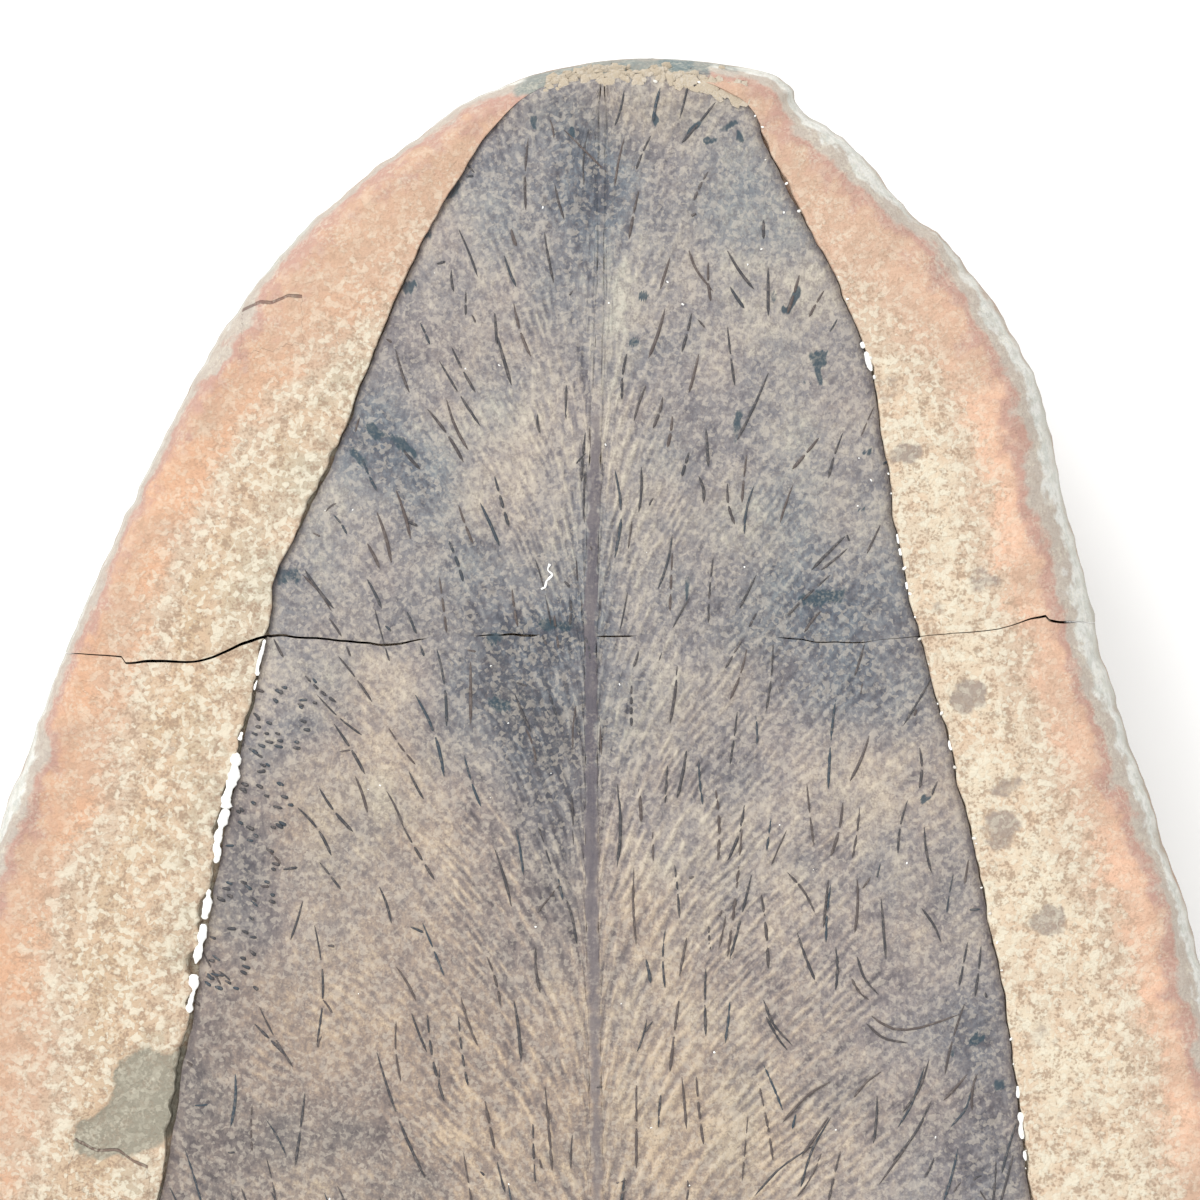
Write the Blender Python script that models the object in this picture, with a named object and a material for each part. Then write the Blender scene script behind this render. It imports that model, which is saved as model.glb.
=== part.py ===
"""Fossil fern plate: one half of an ironstone nodule, split open along a large fern leaflet.

The half nodule lies split face up on a worn flat patch of its underside. One break runs right
across it, so it is two solids that sit against each other. +Y points to the tip of the leaf,
+Z is up, and the origin is the middle of the bottom of the bounding box.
"""

import bmesh
import bpy
import numpy as np

MM = 0.001

# Driving dimensions
LENGTH = 120.0 * MM
WIDTH = 63.0 * MM
THICKNESS = 17.6 * MM
RIM_HEIGHT = 16.4 * MM
EQUATOR_HEIGHT = 13.4 * MM
REST_PATCH_SCALE = 0.50
REST_CENTRE_Y = -5.0 * MM
SHOULDER_LEFT = 0.8 * MM
SHOULDER_RIGHT = 2.2 * MM
TIP_START = 50.0 * MM
TIP_SHOULDER_SHARE = 0.65
SEAM_DEPTH = 0.45 * MM
SEAM_HALF_WIDTH = 0.30 * MM
MIDRIB_HALF_WIDTH = 0.42 * MM
MIDRIB_HEIGHT = 0.16 * MM
FACE_SWELL = 0.35 * MM
UNDERSIDE_WAVE = 0.30 * MM
UNDERSIDE_WAVES = ((5.0, 0.6, 1.0), (9.0, 2.0, 0.6))
UNDERSIDE_OUT_POWER = 0.90
UNDERSIDE_UP_POWER = 0.95
MIDRIB_END_POWER = 0.35
MIDRIB_CREST_SHARE = 0.45
PIECE_GAP = 0.30 * MM
TIP_COLOUR = (0.50, 0.41, 0.33)
BASE_COLOUR = (0.46, 0.38, 0.31)
STONE_ROUGHNESS = 0.85

# How finely the form is divided
AROUND = 88
CURVE_STEPS = 24
WELD_DISTANCE = 0.01 * MM
UNDERSIDE_LOOPS = 9
SHOULDER_LOOPS = 3
MATRIX_LOOPS = 3
LEAF_LOOPS = 5

# Edge of the split face, in mm, clockwise from the middle of the tip
STONE_EDGE = [
    (4.0, 60.0), (8.4, 59.5), (10.1, 58.2), (12.9, 56.0), (14.5, 53.9), (16.8, 51.8),
    (19.9, 47.0), (21.6, 40.5), (23.5, 33.1), (26.5, 24.0), (29.2, 12.0), (31.2, -2.0),
    (31.2, -17.0), (28.2, -33.0), (21.6, -47.5), (11.0, -57.6), (0.0, -60.0),
    (-11.2, -56.8), (-21.2, -46.0), (-28.6, -31.0), (-31.5, -14.0), (-30.0, 4.0),
    (-26.2, 20.0), (-22.3, 31.0), (-18.9, 39.3), (-15.6, 46.0), (-12.4, 51.0),
    (-8.2, 55.0), (-3.4, 58.4), (0.2, 59.6),
]

# Margin of the leaf, in mm, clockwise from the middle of its cut-off tip
LEAF_MARGIN = [
    (3.6, 57.9), (7.6, 57.2), (9.7, 54.0), (11.7, 50.4), (13.2, 46.2), (14.4, 38.5),
    (16.3, 31.3), (18.2, 22.9), (19.6, 13.0), (20.9, 2.0), (20.9, -12.0), (18.6, -27.0),
    (13.6, -39.4), (8.0, -44.4), (1.7, -46.0), (-4.8, -44.2), (-10.6, -39.0),
    (-15.6, -27.0), (-18.0, -10.0), (-17.6, 5.0), (-15.6, 17.5), (-14.0, 26.8),
    (-12.1, 35.6), (-11.8, 38.1), (-10.9, 39.9), (-9.0, 43.8), (-7.5, 47.9), (-5.5, 52.3),
    (-3.3, 56.0), (-1.0, 57.7),
]

# Centre line of the midrib, in mm, tip first
MIDRIB_TOP = (1.9, 56.4)
MIDRIB_BOTTOM = (1.7, -44.4)

# The break across the nodule, in mm, left to right
BREAK_LINE = [
    (-40.0, 34.8), (-18.0, 34.7), (-14.7, 34.8), (-12.0, 35.7), (-7.2, 35.4), (-3.0, 35.8),
    (0.3, 36.0), (1.8, 35.7), (7.6, 35.8), (11.8, 35.5), (16.2, 35.8), (20.5, 36.6),
    (22.2, 36.3), (40.0, 36.3),
]


def remove_everything():
    """Empty the scene, whatever it held."""
    for thing in list(bpy.data.objects):
        bpy.data.objects.remove(thing, do_unlink=True)


def collection_named(name):
    """Make a collection and put it in the scene."""
    group = bpy.data.collections.new(name)
    bpy.context.scene.collection.children.link(group)
    return group


def closed_curve(points, count):
    """Smooth closed curve through points, as count places spaced evenly along it."""
    knots = np.array(points) * MM
    before = np.roll(knots, 1, axis=0)
    after = np.roll(knots, -1, axis=0)
    beyond = np.roll(knots, -2, axis=0)
    fine = []
    for t in np.linspace(0.0, 1.0, CURVE_STEPS, endpoint=False):
        fine.append(0.5 * (2.0 * knots + (after - before) * t
                           + (2.0 * before - 5.0 * knots + 4.0 * after - beyond) * t ** 2
                           + (3.0 * knots - before - 3.0 * after + beyond) * t ** 3))
    dense = np.stack(fine, axis=1).reshape(-1, 2)
    dense = np.vstack([dense, dense[:1]])
    steps = np.hypot(*np.diff(dense, axis=0).T)
    reach = np.concatenate([[0.0], np.cumsum(steps)])
    wanted = np.linspace(0.0, reach[-1], count, endpoint=False)
    return np.column_stack([np.interp(wanted, reach, dense[:, axis]) for axis in (0, 1)])


def inward(loop):
    """Unit directions across a clockwise loop, towards its inside."""
    along = np.roll(loop, -1, axis=0) - np.roll(loop, 1, axis=0)
    across = np.column_stack([along[:, 1], -along[:, 0]])
    return across / np.hypot(*across.T)[:, None]


def fitted_edge():
    """Edge of the stone, scaled to fill the driving length and width about the origin."""
    edge = closed_curve(STONE_EDGE, AROUND)
    low = edge.min(axis=0)
    high = edge.max(axis=0)
    return (edge - (low + high) / 2.0) * np.array([WIDTH, LENGTH]) / (high - low)


def with_height(loop, height):
    """Loop of places in the plane, lifted to one height or to a height each."""
    return np.column_stack([loop, np.broadcast_to(height, len(loop))])


def underside_loops(edge):
    """Loops from the flat resting patch out and up to the widest level of the stone."""
    centre = np.array([0.0, REST_CENTRE_Y])
    patch = centre + (edge - centre) * REST_PATCH_SCALE
    turn = np.arctan2(edge[:, 1] / LENGTH, edge[:, 0] / WIDTH)
    wave = UNDERSIDE_WAVE * sum(size * np.sin(count * turn + start)
                                for count, start, size in UNDERSIDE_WAVES)
    loops = []
    for swing in np.linspace(0.0, 1.0, UNDERSIDE_LOOPS + 1):
        out = np.sin(swing * np.pi / 2.0) ** UNDERSIDE_OUT_POWER
        up = 1.0 - np.cos(swing * np.pi / 2.0) ** UNDERSIDE_UP_POWER
        bulge = 1.0 + wave[:, None] / WIDTH * np.sin(swing * np.pi)
        loop = centre + (patch + (edge - patch) * out - centre) * bulge
        loops.append(with_height(loop, EQUATOR_HEIGHT * up))
    return loops


def shoulder_width(edge):
    """Width of the weathered shoulder: narrow on the left, broad on the right, less at the tip."""
    side = (edge[:, 0] / WIDTH + 0.5)[:, None]
    tip = np.clip((edge[:, 1] - TIP_START) / (LENGTH / 2.0 - TIP_START), 0.0, 1.0)[:, None]
    width = SHOULDER_LEFT + (SHOULDER_RIGHT - SHOULDER_LEFT) * side
    return width * (1.0 - (1.0 - TIP_SHOULDER_SHARE) * tip)


def shoulder_loops(edge):
    """Loops that round over from the widest level to the rim of the split face."""
    width = shoulder_width(edge)
    loops = []
    for step in range(1, SHOULDER_LOOPS + 1):
        swing = step / SHOULDER_LOOPS * np.pi / 2.0
        loop = edge + inward(edge) * width * (1.0 - np.cos(swing))
        height = EQUATOR_HEIGHT + (RIM_HEIGHT - EQUATOR_HEIGHT) * np.sin(swing)
        loops.append(with_height(loop, height))
    return loops


def matrix_loops(rim, margin):
    """Loops across the bare matrix, from the rim to the seam round the leaf."""
    seam_edge = margin - inward(margin) * SEAM_HALF_WIDTH
    loops = []
    for step in range(1, MATRIX_LOOPS + 1):
        share = step / MATRIX_LOOPS
        height = RIM_HEIGHT + FACE_SWELL * np.sin(share * np.pi / 2.0)
        loops.append(with_height(rim + (seam_edge - rim) * share, height))
    return loops


def leaf_loops(margin):
    """Loops from the bottom of the seam up on to the leaf and in to the side of the midrib."""
    face = RIM_HEIGHT + FACE_SWELL
    crown = THICKNESS - MIDRIB_HEIGHT
    shoulder = margin + inward(margin) * SEAM_HALF_WIDTH
    side = midrib_loop(margin, MIDRIB_HALF_WIDTH)
    loops = [with_height(margin, face - SEAM_DEPTH)]
    for step in range(LEAF_LOOPS + 1):
        share = step / LEAF_LOOPS
        height = face + (crown - face) * np.sin(share * np.pi / 2.0)
        loops.append(with_height(shoulder + (side - shoulder) * share, height))
    return loops


def midrib_loop(margin, half_width):
    """Long narrow loop round the midrib, with one place for each place on the margin."""
    top = np.array(MIDRIB_TOP) * MM
    bottom = np.array(MIDRIB_BOTTOM) * MM
    span = margin[:, 1].max() - margin[:, 1].min()
    down = (margin[:, 1].max() - margin[:, 1]) / span
    centre = top + (bottom - top) * down[:, None]
    offset = margin[:, 0] - centre[:, 0]
    reach = np.abs(offset).max()
    fullness = np.sign(offset) * (np.abs(offset) / reach) ** MIDRIB_END_POWER
    return centre + np.column_stack([fullness * half_width, np.zeros(len(margin))])


def stone_loops():
    """Every loop of the stone, from the resting patch to the crest of the midrib."""
    edge = fitted_edge()
    margin = closed_curve(LEAF_MARGIN, AROUND)
    loops = underside_loops(edge)
    loops += shoulder_loops(edge)
    loops += matrix_loops(loops[-1][:, :2], margin)
    loops += leaf_loops(margin)
    crest = midrib_loop(margin, MIDRIB_HALF_WIDTH * MIDRIB_CREST_SHARE)
    loops.append(with_height(crest, THICKNESS))
    return loops


def stone_mesh(name):
    """Closed form of the whole stone: a sphere's loops moved to the stone's loops."""
    loops = stone_loops()
    form = bmesh.new()
    bmesh.ops.create_uvsphere(form, u_segments=AROUND, v_segments=len(loops) + 1, radius=1.0)
    poles = []
    for vert in form.verts:
        x, y, z = vert.co
        level = round((0.5 + np.arcsin(np.clip(z, -1.0, 1.0)) / np.pi) * (len(loops) + 1))
        if level in (0, len(loops) + 1):
            poles.append(vert)
            continue
        turn = round((0.25 - np.arctan2(y, x) / (2.0 * np.pi)) * AROUND) % AROUND
        vert.co = loops[level - 1][turn]
    bmesh.ops.dissolve_verts(form, verts=poles)
    wide = [face for face in form.faces if len(face.verts) > 4]
    bmesh.ops.triangulate(form, faces=wide)
    bmesh.ops.recalc_face_normals(form, faces=form.faces)
    mesh = bpy.data.meshes.new(name)
    form.to_mesh(mesh)
    form.free()
    return mesh


def outline_cutter(name, outline, group):
    """Closed upright prism on a flat outline, used only to cut."""
    curve = bpy.data.curves.new(name, "CURVE")
    curve.dimensions = "2D"
    curve.fill_mode = "BOTH"
    curve.extrude = THICKNESS
    spline = curve.splines.new("POLY")
    spline.points.add(len(outline) - 1)
    for point, (x, y) in zip(spline.points, outline):
        point.co = (x, y, 0.0, 1.0)
    spline.use_cyclic_u = True
    flat = bpy.data.objects.new(name + "_outline", curve)
    group.objects.link(flat)
    flat.location.z = THICKNESS / 2.0
    bpy.context.view_layer.update()
    reading = flat.evaluated_get(bpy.context.evaluated_depsgraph_get())
    mesh = bpy.data.meshes.new_from_object(reading)
    solid = bmesh.new()
    solid.from_mesh(mesh)
    bmesh.ops.remove_doubles(solid, verts=solid.verts, dist=WELD_DISTANCE)
    bmesh.ops.recalc_face_normals(solid, faces=solid.faces)
    solid.to_mesh(mesh)
    solid.free()
    cutter = bpy.data.objects.new(name, mesh)
    group.objects.link(cutter)
    cutter.matrix_world = flat.matrix_world
    bpy.data.objects.remove(flat, do_unlink=True)
    cutter.hide_render = True
    cutter.display_type = "WIRE"
    return cutter


def break_cutter(name, side, group):
    """Prism that takes away everything on one side of the break, and half of the gap."""
    line = [(x * MM, y * MM - side * PIECE_GAP / 2.0) for x, y in BREAK_LINE]
    far = side * LENGTH
    corners = [(line[-1][0], far), (line[0][0], far)]
    return outline_cutter(name, line + corners, group)


def ironstone(name, colour, roughness):
    """Matt buff ironstone."""
    material = bpy.data.materials.new(name)
    material.use_nodes = True
    shader = material.node_tree.nodes["Principled BSDF"]
    shader.inputs["Base Color"].default_value = (*colour, 1.0)
    shader.inputs["Roughness"].default_value = roughness
    shader.inputs["Metallic"].default_value = 0.0
    return material


def stone_piece(name, material, cutter, group):
    """One piece of the broken nodule: the whole stone, less what is past the break."""
    mesh = stone_mesh(name)
    mesh.materials.append(material)
    mesh.shade_smooth()
    piece = bpy.data.objects.new(name, mesh)
    group.objects.link(piece)
    cut = piece.modifiers.new("break", "BOOLEAN")
    cut.operation = "DIFFERENCE"
    cut.solver = "EXACT"
    cut.object = cutter
    return piece


def main():
    """Build the two pieces of the fossil plate."""
    remove_everything()
    parts = collection_named("fossil_fern_plate")
    cutters = collection_named("cutters")
    below = break_cutter("cutter_below_break", -1.0, cutters)
    above = break_cutter("cutter_above_break", 1.0, cutters)
    tip_stone = ironstone("tip_ironstone", TIP_COLOUR, STONE_ROUGHNESS)
    base_stone = ironstone("base_ironstone", BASE_COLOUR, STONE_ROUGHNESS)
    stone_piece("nodule_tip_piece", tip_stone, below, parts)
    stone_piece("nodule_base_piece", base_stone, above, parts)


main()
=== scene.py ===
"""Looks of the fossil fern plate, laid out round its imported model.

One half of a split ironstone nodule lies split face up. A long hairy fern leaflet is pressed in the
face, and a tight break runs right across. All shapes are worked out in millimetres in the model's
own frame, and are turned to metres as each mesh is made.
"""

import logging
import math
from dataclasses import dataclass, field
from enum import Enum
from itertools import product

import bmesh
import bpy
import numpy as np
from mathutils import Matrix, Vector
from mathutils.kdtree import KDTree


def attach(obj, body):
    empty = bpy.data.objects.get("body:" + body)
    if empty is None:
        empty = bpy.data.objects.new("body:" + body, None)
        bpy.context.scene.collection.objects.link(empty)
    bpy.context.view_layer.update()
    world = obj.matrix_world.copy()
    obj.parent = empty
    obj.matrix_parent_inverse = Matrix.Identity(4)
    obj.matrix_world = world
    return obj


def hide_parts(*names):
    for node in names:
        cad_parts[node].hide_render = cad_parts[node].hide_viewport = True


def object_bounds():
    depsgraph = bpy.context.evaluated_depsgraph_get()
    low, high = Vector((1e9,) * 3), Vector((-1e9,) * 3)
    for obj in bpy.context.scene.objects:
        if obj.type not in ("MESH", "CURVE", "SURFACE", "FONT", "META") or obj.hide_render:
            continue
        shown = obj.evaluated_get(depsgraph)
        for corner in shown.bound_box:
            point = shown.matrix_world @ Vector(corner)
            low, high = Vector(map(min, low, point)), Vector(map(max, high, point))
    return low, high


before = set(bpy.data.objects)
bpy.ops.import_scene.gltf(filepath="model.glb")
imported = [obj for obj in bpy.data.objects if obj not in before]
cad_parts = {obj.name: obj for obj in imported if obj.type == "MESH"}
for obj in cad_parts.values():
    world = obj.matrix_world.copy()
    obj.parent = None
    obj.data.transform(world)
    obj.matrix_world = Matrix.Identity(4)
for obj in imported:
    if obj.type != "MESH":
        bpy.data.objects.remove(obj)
CAD_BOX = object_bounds()

LOG = logging.getLogger("fossil_plate")
MM = 0.001
LIGHT_LEVEL = 1.8
Colour = tuple[float, float, float]
Socket = bpy.types.NodeSocket
Pairs = list[tuple[float, float]]
Stops = tuple[tuple[float, Colour], ...]


class Side(Enum):
    """Half of the leaf, by where it lies from the midrib seen from above."""

    LEFT = -1
    RIGHT = 1


class Piece(Enum):
    """Piece of the broken nodule, by where it lies from the break."""

    TIP = 1
    BASE = -1

    @property
    def word(self) -> str:
        """Lower-case word for names."""
        return self.name.lower()


class Skin(Enum):
    """Kind of surface on a stone piece, in the order of its material slots."""

    FACE = 0
    RIND = 1
    BREAK = 2


# ---------------------------------------------------------------- curves and fields


def smooth_path(points: Pairs, closed: bool = False, steps: int = 40) -> np.ndarray:
    """Run a smooth curve through a few chosen points.

    Args:
        points: Places the curve passes through, in mm.
        closed: Whether the last place joins the first.
        steps: Places made for each stretch between two points.

    Returns:
        Places along the curve, one row each.
    """
    knots = np.array(points, float)
    if closed:
        before, after, beyond = (np.roll(knots, n, axis=0) for n in (1, -1, -2))
    else:
        padded = np.vstack([2 * knots[0] - knots[1], knots, 2 * knots[-1] - knots[-2]])
        before, knots, after, beyond = padded[:-3], padded[1:-2], padded[2:-1], padded[3:]
    t = np.linspace(0.0, 1.0, steps, endpoint=False)[None, :, None]
    a, b, c, d = (part[:, None, :] for part in (before, knots, after, beyond))
    curve = 0.5 * (2 * b + (c - a) * t + (2 * a - 5 * b + 4 * c - d) * t ** 2
                   + (3 * b - a - 3 * c + d) * t ** 3)
    curve = curve.reshape(-1, 2)
    return curve if closed else np.vstack([curve, points[-1]])


def lengths_along(path: np.ndarray) -> np.ndarray:
    """Distance from the start of a path to each of its places."""
    return np.concatenate([[0.0], np.cumsum(np.linalg.norm(np.diff(path, axis=0), axis=1))])


def spaced(path: np.ndarray, count: int) -> np.ndarray:
    """Space places evenly along a path.

    Args:
        path: Places along the path.
        count: Number of places wanted, both ends among them.

    Returns:
        The evenly spaced places.
    """
    reach = lengths_along(path)
    wanted = np.linspace(0.0, reach[-1], count)
    return np.column_stack([np.interp(wanted, reach, axis) for axis in path.T])


def by_height(pairs: Pairs, y: np.ndarray) -> np.ndarray:
    """Read a value off (y, value) pairs that run from high y to low y."""
    table = np.array(pairs[::-1], float)
    return np.interp(y, table[:, 0], table[:, 1])


def soft_step(value: np.ndarray, low: float, high: float) -> np.ndarray:
    """Smooth rise from 0 at low to 1 at high; high may be the lower number."""
    share = np.clip((value - low) / (high - low), 0.0, 1.0)
    return share * share * (3.0 - 2.0 * share)


class Noise:
    """Smooth noise that is the same on every run."""

    def __init__(self, seed: int) -> None:
        """Keep the seed that sets this noise apart from others."""
        self.seed = seed

    def _corner(self, cell: np.ndarray) -> np.ndarray:
        """Value from -1 to 1 at each whole-numbered lattice place."""
        mixed = np.full(len(cell), self.seed * 374761393, np.int64)
        for axis, factor in zip(cell.T, (73856093, 19349663, 83492791)):
            mixed = (mixed ^ (axis * factor)) & 0x7FFFFFFF
        mixed = ((mixed ^ (mixed >> 13)) * 1274126177) & 0x7FFFFFFF
        mixed = ((mixed ^ (mixed >> 15)) * 668265263) & 0x7FFFFFFF
        return (mixed >> 8 & 0xFFFF) / 32767.5 - 1.0

    def _layer(self, places: np.ndarray) -> np.ndarray:
        """One layer of noise, a lattice step wide."""
        cell = np.floor(places).astype(np.int64)
        share = places - cell
        share = share * share * (3.0 - 2.0 * share)
        total = np.zeros(len(places))
        for corner in product((0, 1), repeat=places.shape[1]):
            weight = np.ones(len(places))
            for axis, end in enumerate(corner):
                weight = weight * (share[:, axis] if end else 1.0 - share[:, axis])
            total += weight * self._corner(cell + np.array(corner))
        return total

    def at(self, places: np.ndarray, size: float, layers: int = 2) -> np.ndarray:
        """Sum a few layers of noise.

        Args:
            places: Places in mm, any shape, with two or three numbers in the last axis.
            size: Size of the largest lumps, in mm.
            layers: Number of layers, each half the size of the last.

        Returns:
            Values of about -1 to 1, in the shape of the places.
        """
        flat = places.reshape(-1, places.shape[-1])
        total = np.zeros(len(flat))
        for layer in range(layers):
            scale = 2.0 ** layer
            total += self._layer(flat * scale / size + 17.3 * layer) / scale
        return total.reshape(places.shape[:-1])


class Nearest:
    """Distance from any place to one path."""

    def __init__(self, path: np.ndarray, closed: bool) -> None:
        """Keep the path and a quick search tree of its places."""
        self.path = np.vstack([path, path[:1]]) if closed else path
        self.tree = KDTree(len(self.path))
        for index, (x, y) in enumerate(self.path):
            self.tree.insert((x, y, 0.0), index)
        self.tree.balance()

    def distance(self, places: np.ndarray) -> np.ndarray:
        """Measure the distance to the path.

        Args:
            places: Places in the plane, any shape, with x and y in the last axis.

        Returns:
            Distances in mm, in the shape of the places.
        """
        flat = places.reshape(-1, 2)
        near = np.array([self.tree.find((x, y, 0.0))[1] for x, y in flat])
        best = np.full(len(flat), np.inf)
        for start in (near - 1, near):
            start = np.clip(start, 0, len(self.path) - 2)
            a = self.path[start]
            run = self.path[start + 1] - a
            reach = (run * run).sum(axis=1) + 1e-12
            share = np.clip(((flat - a) * run).sum(axis=1) / reach, 0.0, 1.0)
            best = np.minimum(best, np.linalg.norm(flat - a - run * share[:, None], axis=1))
        return best.reshape(places.shape[:-1])


@dataclass(frozen=True)
class Patch:
    """Soft oval area on the face, in mm, turned by some degrees."""

    x: float
    y: float
    wide: float
    high: float
    turn: float = 0.0
    strength: float = 1.0

    def cover(self, places: np.ndarray, softness: float, ragged: np.ndarray) -> np.ndarray:
        """How far each place is covered, from 0 to 1.

        Args:
            places: Places in the plane.
            softness: Width of the soft edge, as a share of the oval.
            ragged: Values of about -1 to 1 that push the edge in and out.

        Returns:
            Cover from 0 outside to strength inside.
        """
        reach = self._reach(places) + ragged
        return self.strength * soft_step(reach, 1.0 + softness, 1.0 - softness)

    def glow(self, places: np.ndarray) -> np.ndarray:
        """Slow fade from strength in the middle to 0 far off."""
        return self.strength * np.exp(-0.7 * self._reach(places) ** 2)

    def _reach(self, places: np.ndarray) -> np.ndarray:
        """Distance from the middle, where 1 is the oval's edge."""
        angle = math.radians(self.turn)
        dx = places[..., 0] - self.x
        dy = places[..., 1] - self.y
        along = (dx * math.cos(angle) + dy * math.sin(angle)) / self.wide
        across = (dy * math.cos(angle) - dx * math.sin(angle)) / self.high
        return np.hypot(along, across)


def glow(ovals: list[Patch], places: np.ndarray) -> np.ndarray:
    """Sum of several ovals that fade slowly away from their middles."""
    return sum(patch.glow(places) for patch in ovals)


def covered(ovals: list[Patch], places: np.ndarray, softness: float, ragged: np.ndarray) -> np.ndarray:
    """Strongest cover of several ovals at each place."""
    total = np.zeros(places.shape[:-1])
    for patch in ovals:
        total = np.maximum(total, patch.cover(places, softness, ragged))
    return total


# ---------------------------------------------------------------- the plate's own form


@dataclass
class PlateForm:
    """Outline, height and relief of the split face, in mm, that every piece is laid out on."""

    rim_height: float = 16.4
    equator: float = 13.4
    swell: float = 0.35
    swell_reach: float = 9.0
    shoulder_left: float = 0.8
    shoulder_right: float = 2.2
    tip_start: float = 50.0
    tip_shoulder_share: float = 0.65
    rest_share: float = 0.5
    rest_centre_y: float = -5.0
    leaf_step: float = 0.16
    leaf_crown: float = 0.42
    bed_depth: float = 0.30
    groove_depth: float = 0.60
    midrib_half: float = 0.34
    film_floor: float = 15.9
    break_level: float = 36.0
    merge: tuple[float, float] = (57.0, 58.5)
    stone_points: Pairs = field(default_factory=lambda: [
        (4, 60), (8.4, 59.5), (9.9, 58.7), (10.2, 57.9), (12.9, 56), (14.5, 53.9), (16.8, 51.8),
        (19.9, 47), (21.6, 40.5), (23.5, 33.1), (26.5, 24), (29.2, 12), (31.2, -2), (31.2, -17),
        (28.2, -33), (21.6, -47.5), (11, -57.6), (0, -60), (-11.2, -56.8), (-21.2, -46), (-28.6, -31),
        (-31.5, -14), (-30, 4), (-26.2, 20), (-22.3, 31), (-18.9, 39.3), (-15.6, 46), (-12.4, 51),
        (-8.2, 55), (-3.4, 58.4), (0.2, 59.6)])
    margin_points: Pairs = field(default_factory=lambda: [
        (2.2, 59.05), (4.8, 59.1), (6.7, 58.6), (8.2, 57.6), (8.7, 56.2), (9.8, 54), (11.7, 50.4),
        (13.2, 46.2), (14.4, 38.5), (16.3, 31.3), (18.2, 22.9), (19.6, 13), (20.9, 2), (20.9, -12),
        (18.6, -27), (13.6, -39.4), (8, -44.4), (1.7, -46), (-4.8, -44.2), (-10.6, -39), (-15.6, -27),
        (-18, -10), (-17.6, 5), (-15.6, 17.5), (-14, 26.8), (-12.1, 35.6), (-11.8, 38.1), (-10.9, 39.9),
        (-9, 43.8), (-7.5, 47.9), (-5.5, 52.3), (-3.3, 56.1), (-1.6, 58), (0.2, 58.9)])
    break_points: Pairs = field(default_factory=lambda: [
        (-40, 34.8), (-20.2, 35), (-18, 34.65), (-16.7, 34.7), (-14.7, 34.8), (-12, 35.7), (-9.7, 35.6),
        (-7.2, 35.4), (-5, 35.75), (-1.1, 35.8), (0.3, 36), (1.8, 35.7), (4.3, 35.8), (7.6, 35.8),
        (9.4, 35.7), (11.8, 35.5), (14.8, 35.7), (18, 36), (20.5, 36.6), (22.2, 36.3), (40, 36.3)])
    break_gaps: Pairs = field(default_factory=lambda: [
        (-40, 0.05), (-20.2, 0.04), (-18.4, 0.06), (-17, 0.12), (-15, 0.09), (-12.8, 0.14), (-11, 0.09),
        (-8.5, 0.09), (-6.8, 0.1), (-5.7, 0.06), (-5.4, 0), (-3.4, 0), (-3.2, 0.05), (-2.8, 0.05),
        (-2.5, 0), (-2.2, 0.09), (-1, 0.1), (-0.7, 0), (1.6, 0), (1.9, 0.07), (3, 0.07), (3.3, 0),
        (9.1, 0), (9.5, 0.05), (12.7, 0.05), (13.2, 0.01), (14.8, 0.03), (19, 0.04), (20.4, 0.11),
        (21.3, 0.11), (21.9, 0.03), (40, 0.03)])
    left_gaps: Pairs = field(default_factory=lambda: [
        (57, 0), (52.6, 0.01), (51.6, 0.06), (45.5, 0.07), (44, 0.12), (42.2, 0.17), (40.6, 0.13),
        (39.8, 0.02), (36.2, 0.02), (35.5, 0.2), (33, 0.14), (31.5, 0.28), (30, 0.44), (27, 0.46),
        (25.5, 0.34), (24, 0.38), (21, 0.42), (20, 0.33), (18, 0.3), (16, 0.27), (13.5, 0.15),
        (11, 0.08), (0, 0.12), (-20, 0.07), (-46, 0.07)])
    right_gaps: Pairs = field(default_factory=lambda: [
        (57.6, 0), (56.8, 0.02), (56.4, 0.1), (54, 0.11), (53, 0.03), (48, 0.04), (47, 0.12), (45, 0.03),
        (36, 0.04), (31, 0.07), (25, 0.07), (20, 0.05), (16, 0.09), (13.5, 0.15), (8, 0.08), (-46, 0.07)])
    midrib_points: Pairs = field(default_factory=lambda: [
        (58.95, 1.9), (50, 1.8), (37, 1.4), (25, 1.45), (14, 1.65), (-45.4, 1.7)])
    midrib_sizes: Pairs = field(default_factory=lambda: [
        (58.95, 0.4), (48, 0.55), (43, 0.95), (30, 1), (10, 0.95), (-30, 1.35), (-45.4, 2)])

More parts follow.
